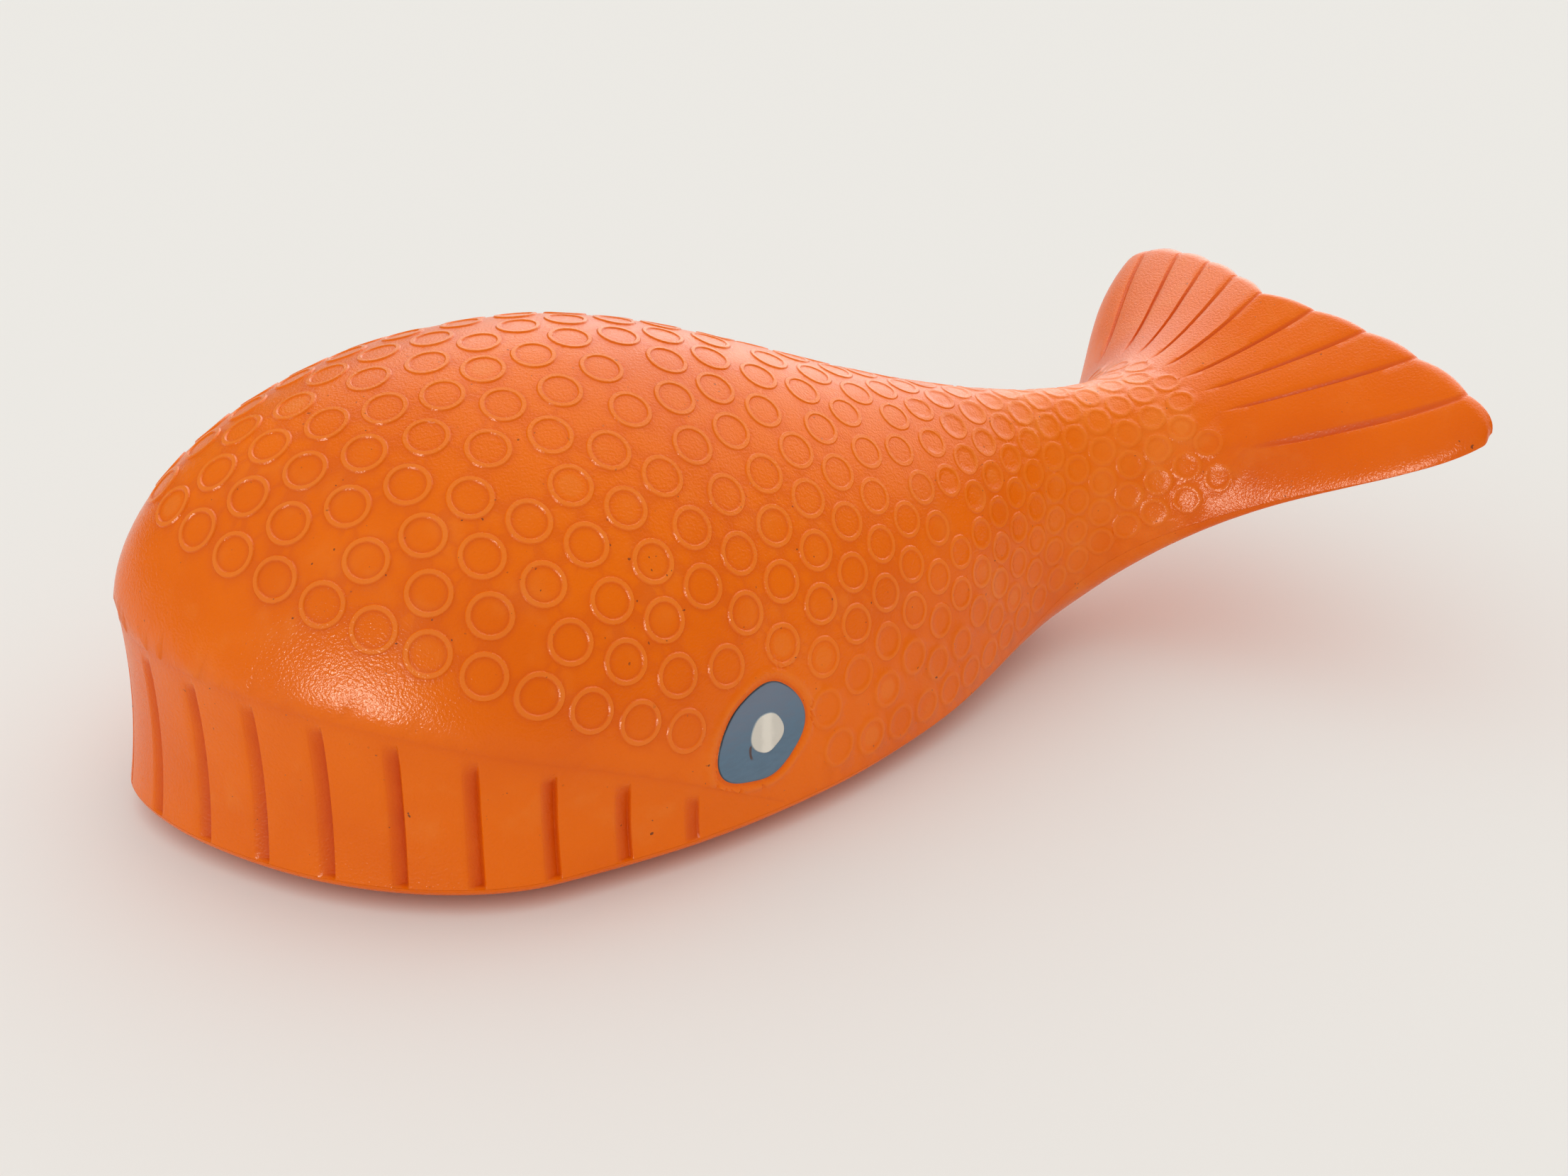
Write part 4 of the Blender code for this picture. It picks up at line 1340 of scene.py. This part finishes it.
def celluloid(colours):
    """Thin orange celluloid: fine grain, slow colour changes, painted shade in creases and on the fluke, a
    painted sheen towards the tail and a few grime specks.
    """
    finish = Finish(bpy.data.materials.new("moulded_celluloid"))
    place = finish.spread()
    tone = finish.node("ShaderNodeAttribute", {"attribute_name": "tone"}, output=2)
    shade, rubbed = tone.step(0, 1), (0 - tone).step(0, 1)
    slow = finish.noise(place, 34, 3, 0.55)
    patch = finish.noise(place, 150, 3, 0.6)
    grain = finish.noise(place, 3100, 1, 0.5)
    leather = finish.noise(place, 8000, 1, 0.5)
    speck = finish.noise(place, 1500, 1, 0.5)
    along = finish.part(place, 0)
    fluke = along.step(0.048, 0.066)
    # A painted sheen: paler patches on the back half towards the tail, off the fluke.
    painted_sheen = along.step(0.0, 0.06) * (1 - fluke) * patch.step(0.2, 0.8)
    # The fluke is mixed darker as painted shade; the slow noise is random tone.
    base = finish.mix(slow.step(0.35, 0.75) * 0.4 + fluke * 0.3, colours.celluloid, colours.deep_and_shade)
    base = finish.mix(patch.step(0.5, 0.8) * 0.18 + painted_sheen * 0.3, base, colours.bleached_and_sheen)
    base = finish.mix(rubbed * 0.28, base, colours.bleached_and_sheen)
    # Painted shade from the tone: in creases, grooves, rays, ring feet and round the eyes.
    base = finish.mix(shade * (0.35 + patch * 0.9), base, colours.deep_and_shade)
    dots = speck.step(0.76, 0.78) * patch.step(0.42, 0.62)
    base = finish.mix(dots * 0.8, base, colours.grime)
    finish.shade({"Base Color": base})
    finish.shade({"Roughness": 0.17 + patch * 0.1 + shade * 0.15 + dots * 0.2})
    relief = finish.bump(patch, 0.0002, 0.25)
    relief = finish.bump(grain * 0.75 + leather * 0.25, 0.00012, 0.7, relief)
    finish.shade({"Normal": relief})
    finish.shade({"IOR": 1.5, "Specular IOR Level": 0.18, "Coat Weight": 0.04, "Coat Roughness": 0.5})
    return finish.owner


def iris_paint(colours):
    """Blue-grey brush paint: greyer above, a dark line of painted shadow and grime along its upper edge and
    a crack under the pupil.
    """
    finish = Finish(bpy.data.materials.new("iris_paint"))
    place = finish.spread()
    mark = finish.node("ShaderNodeAttribute", {"attribute_name": "paint"}, output=1)
    tail, up, rim = (finish.part(mark, i) for i in range(3))
    streak = finish.noise(finish.stretched(mark, (0.35, 1.1, 0.0)), 1.4, 3, 0.6)
    blot = finish.noise(place, 520, 3, 0.6)
    lean = (up * 0.12 - tail * 0.09 + 0.5).step(0.2, 0.9)
    # The dark line is painted shadow of the ridge round the eye, with grime in the crease, strongest on the
    # upper side.
    line = (rim + (blot - 0.5) * 0.03).step(0.955, 0.98) * (0.2 + lean * 0.8)
    # The paint is greyer towards the top.
    greyer_above = (up * 0.12 + 0.35 + (streak - 0.5) * 0.9).step(0.1, 1.0)
    bend = tail + 2.25 + (up + 1.6) * (up + 1.6) * -0.25
    crack = 1 - (bend.size() + (blot - 0.5) * 0.2).step(0.08, 0.24)
    crack = crack * (up + 2.7).step(0, 0.5) * (1 - (up + 0.9).step(0, 0.3))
    base = finish.mix(streak.step(0.3, 0.75) * 0.45, colours.iris, [c * 0.72 for c in colours.iris])
    base = finish.mix(greyer_above * 0.7, base, colours.iris_upper)
    base = finish.mix(line, base, colours.iris_edge_shade)
    base = finish.mix(crack * 0.85, base, colours.grime)
    finish.shade({"Base Color": base, "Roughness": 0.36 + blot * 0.2})
    finish.shade({"Normal": finish.bump(streak * 0.6 + blot * 0.4 - crack * 0.6, 0.00012, 0.45)})
    return finish.owner


def pupil_paint(colours):
    """Off-white dab of paint, brighter down its middle and darker at its edge."""
    finish = Finish(bpy.data.materials.new("pupil_paint"))
    place = finish.spread()
    mark = finish.node("ShaderNodeAttribute", {"attribute_name": "paint"}, output=1)
    tail, up, rim = (finish.part(mark, i) for i in range(3))
    blot = finish.noise(place, 600, 3, 0.6)
    stroke = (tail - 0.55 + up * -0.12 + (blot - 0.5) * 1.2).size()
    base = finish.mix(stroke.step(0.3, 1.3), colours.pupil, [c * 0.84 for c in colours.pupil])
    base = finish.mix((rim + (blot - 0.5) * 0.06).step(0.93, 0.98) * 0.7, base, colours.iris)
    finish.shade({"Base Color": base, "Roughness": 0.4 + blot * 0.2})
    finish.shade({"Normal": finish.bump(blot, 0.00015, 0.5)})
    return finish.owner


def pellet_finish(colours):
    """Dry seeds: mottled, with a fine wrinkled skin."""
    finish = Finish(bpy.data.materials.new("dry_seed"))
    place = finish.spread()
    mottle = finish.noise(place, 420, 4, 0.6)
    fine = finish.noise(place, 1900, 3, 0.6)
    base = finish.mix(mottle.step(0.35, 0.7), colours.pellet, [c * 0.5 for c in colours.pellet])
    finish.shade({"Base Color": base, "Roughness": 0.5 + fine * 0.3})
    finish.shade({"Normal": finish.bump(mottle * 0.6 + fine * 0.4, 0.0002, 0.6)})
    return finish.owner


def floor_finish(stage):
    """Plain pale table top, without gloss."""
    finish = Finish(bpy.data.materials.new("pale_table"))
    finish.shade({"Base Color": list(stage.floor), "Roughness": 0.65, "Specular IOR Level": 0.0})
    return finish.owner


def toy_of(context):
    return context.scene.fish_rattle


def dress(made, body, slot, material, *nodes):
    """Gives a piece its finish and its body, and hides the solids that it stands for."""
    made.data.materials.clear()
    made.data.materials.append(material)
    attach(made, body)
    if nodes:
        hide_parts(*nodes)


def finish_of(name, make, colours):
    """A finish, made once and shared by all pieces that have it."""
    return bpy.data.materials.get(name) or make(colours)


class FISHRATTLE_OT_back_shell(bpy.types.Operator):
    """Makes the back half with its rings, brow, grooved band and fluke"""

    bl_idname = "fish_rattle.back_shell"
    bl_label = "Back shell"

    def execute(self, context):
        toy = toy_of(context)
        finish = finish_of("moulded_celluloid", celluloid, toy.finish)
        dress(make_back(toy), "shell", "celluloid", finish, "back_shell")
        return {"FINISHED"}


class FISHRATTLE_OT_belly_shell(bpy.types.Operator):
    """Makes the belly half with its flat bottom and the underside of the fluke"""

    bl_idname = "fish_rattle.belly_shell"
    bl_label = "Belly shell"

    def execute(self, context):
        toy = toy_of(context)
        finish = finish_of("moulded_celluloid", celluloid, toy.finish)
        dress(make_belly(toy), "shell", "celluloid", finish, "belly_shell")
        return {"FINISHED"}


class FISHRATTLE_OT_eyes(bpy.types.Operator):
    """Paints an eye on either side of the head"""

    bl_idname = "fish_rattle.eyes"
    bl_label = "Painted eyes"

    def execute(self, context):
        toy = toy_of(context)
        eye = toy.eye
        dome = Dome(Form(toy))
        iris_finish = finish_of("iris_paint", iris_paint, toy.finish)
        pupil_finish = finish_of("pupil_paint", pupil_paint, toy.finish)
        shift = (eye.pupil_shift, 0.0)
        for side, seed, u, v in eye_spots(dome, eye):
            word = "near" if side < 0 else "far"
            iris = paint_patch(f"iris_{word}", dome, u, v, eye.film, iris_dab(eye, seed), 0.0)
            dress(iris, "shell", "celluloid", iris_finish)
            pupil = paint_patch(f"pupil_{word}", dome, u, v, eye.film, pupil_dab(eye, seed), eye.film, shift)
            dress(pupil, "shell", "celluloid", pupil_finish)
        return {"FINISHED"}


class FISHRATTLE_OT_pellets(bpy.types.Operator):
    """Makes the loose seeds inside, one for each packed pellet"""

    bl_idname = "fish_rattle.pellets"
    bl_label = "Loose pellets"
    FIT = 0.98
    LUMP_SCALE, LUMP = 1.7, 0.05
    WRINKLE_SCALE, WRINKLE = 7, 0.012

    def execute(self, context):
        toy = toy_of(context)
        names = sorted(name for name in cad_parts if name.startswith("pellet"))
        if not names:
            raise RuntimeError("The packed part has no pellets")
        for number, name in enumerate(names):
            low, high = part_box(name)
            radius = min(high - low) / 2 * self.FIT
            mesh = bmesh.new()
            bmesh.ops.create_icosphere(mesh, subdivisions=4, radius=1)
            for vert in mesh.verts:
                lump = noise.noise(vert.co * self.LUMP_SCALE + Vector((number, 0, 0)) * 5)
                wrinkle = noise.noise(vert.co * self.WRINKLE_SCALE + Vector((0, number, 0)) * 3)
                vert.co = vert.co * radius * (1 - self.LUMP + self.LUMP * lump + self.WRINKLE * wrinkle)
            data = bpy.data.meshes.new(f"seed_{name}")
            mesh.to_mesh(data)
            mesh.free()
            data.transform(Matrix.Translation((low + high) / 2))
            data.shade_smooth()
            made = linked(f"seed_{name}", data)
            dress(made, name, "pellet", finish_of("dry_seed", pellet_finish, toy.finish), name)
        return {"FINISHED"}


def lamp(name, strength, width, place, target, tint):
    """A soft box that faces a point."""
    data = bpy.data.lights.new(name, "AREA")
    data.shape = "DISK"
    data.size = width
    data.energy = strength
    data.color = tint
    made = linked(name, data)
    made.location = place
    made.rotation_euler = (target - place).to_track_quat("-Z", "Y").to_euler()
    return made


class FISHRATTLE_OT_stage(bpy.types.Operator):
    """Sets the pale table, the soft light and the camera"""

    bl_idname = "fish_rattle.stage"
    bl_label = "Stage"

    def execute(self, context):
        scene = context.scene
        stage = toy_of(context).stage
        self.table(stage)
        self.lights(scene, stage)
        self.camera(scene, stage)
        scene.view_settings.view_transform = "Standard"
        return {"FINISHED"}

    def table(self, stage):
        half_width, gap = 2.5, 0.2 * MM
        mesh = bmesh.new()
        bmesh.ops.create_grid(mesh, x_segments=24, y_segments=24, size=half_width)
        data = bpy.data.meshes.new("table")
        mesh.to_mesh(data)
        mesh.free()
        data.materials.append(floor_finish(stage))
        table = linked("table", data)
        table.location.z = -gap
        table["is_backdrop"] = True

    def lights(self, scene, stage):
        """A pale room, brightest behind the toy and darker in front, with a low lamp for the gloss."""
        room = Finish(bpy.data.worlds.new("pale_room"), "Background")
        way = room.node("ShaderNodeTexCoord", output=0)
        glossy = room.node("ShaderNodeLightPath", output="Is Glossy Ray")
        bright_side, gloss_side = (-0.45, 0.6, 0.66), (0.64, 0.49, 0.59)
        share = room.along(way, bright_side).step(-0.7, 1.0)
        light = stage.room_dark + share * (stage.room_bright - stage.room_dark)
        gloss = room.along(way, gloss_side).step(0.5, 0.97) * stage.gloss + 0.03
        tint = room.mix(share, list(stage.room_warm), list(stage.room_cool))
        room.shade({"Color": tint, "Strength": light + glossy * (gloss - light)})
        scene.world = room.owner
        head = Vector((-0.06, -0.03, 0.027))
        watts, width, warm = 7.6 * stage.light, 0.2, (1, 0.9, 0.74)
        key = lamp("key", watts, width, self.around(head, -140, 8, 0.8), head, warm)
        key.visible_diffuse = False

    def around(self, middle, azimuth, elevation, distance):
        """A place at two angles, in degrees, and a distance from a point."""
        flat = distance * math.cos(math.radians(elevation))
        turned = math.radians(azimuth)
        rise = distance * math.sin(math.radians(elevation))
        return middle + Vector((flat * math.cos(turned), flat * math.sin(turned), rise))

    def camera(self, scene, stage):
        azimuth, rise, tilt = stage.azimuth, stage.elevation, stage.roll
        flat = math.cos(rise)
        back = Vector((math.sin(azimuth) * flat, -math.cos(azimuth) * flat, math.sin(rise)))
        right = Vector((math.cos(azimuth), math.sin(azimuth), 0))
        up = back.cross(right)
        across = right * math.cos(tilt) + up * math.sin(tilt)
        upward = up * math.cos(tilt) - right * math.sin(tilt)
        data = bpy.data.cameras.new("camera")
        data.sensor_width = SENSOR_WIDTH
        data.sensor_fit = "HORIZONTAL"
        data.lens = stage.focal / PHOTO_WIDTH * SENSOR_WIDTH
        data.clip_start = 0.01
        made = linked("camera", data)
        turned = Matrix((across, upward, back)).transposed().to_4x4()
        made.matrix_world = Matrix.Translation(Vector(stage.target) + back * stage.distance) @ turned
        scene.camera = made


class FISHRATTLE_PT_panel(bpy.types.Panel):
    bl_idname = "FISHRATTLE_PT_panel"
    bl_label = "Fish rattle"
    bl_space_type = "VIEW_3D"
    bl_region_type = "UI"
    bl_category = "Fish rattle"

    def draw(self, context):
        toy = toy_of(context)
        for step in STEPS:
            self.layout.operator(step.bl_idname)
        for group in (toy.body, toy.head, toy.fluke, toy.scales, toy.eye, toy.finish, toy.stage):
            box = self.layout.box()
            for name in group.bl_rna.properties.keys():
                if name not in ("rna_type", "name"):
                    box.prop(group, name)


STEPS = (
    FISHRATTLE_OT_back_shell,
    FISHRATTLE_OT_belly_shell,
    FISHRATTLE_OT_eyes,
    FISHRATTLE_OT_pellets,
    FISHRATTLE_OT_stage,
)
GROUPS = (BodySizes, HeadSizes, FlukeSizes, ScaleSizes, EyeSizes, Finishes, StageSizes, RattleSettings)


def register():
    for made in (*GROUPS, *STEPS, FISHRATTLE_PT_panel):
        bpy.utils.register_class(made)
    bpy.types.Scene.fish_rattle = PointerProperty(type=RattleSettings)


def unregister():
    del bpy.types.Scene.fish_rattle
    for made in reversed((*GROUPS, *STEPS, FISHRATTLE_PT_panel)):
        bpy.utils.unregister_class(made)


def main():
    register()
    bpy.ops.fish_rattle.back_shell()
    bpy.ops.fish_rattle.belly_shell()
    bpy.ops.fish_rattle.eyes()
    bpy.ops.fish_rattle.pellets()
    bpy.ops.fish_rattle.stage()
    boxes = {"cad": CAD_BOX, "visual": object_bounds()}
    plain = {name: [[float(c) for c in corner] for corner in box] for name, box in boxes.items()}


if __name__ == "__main__":
    main()
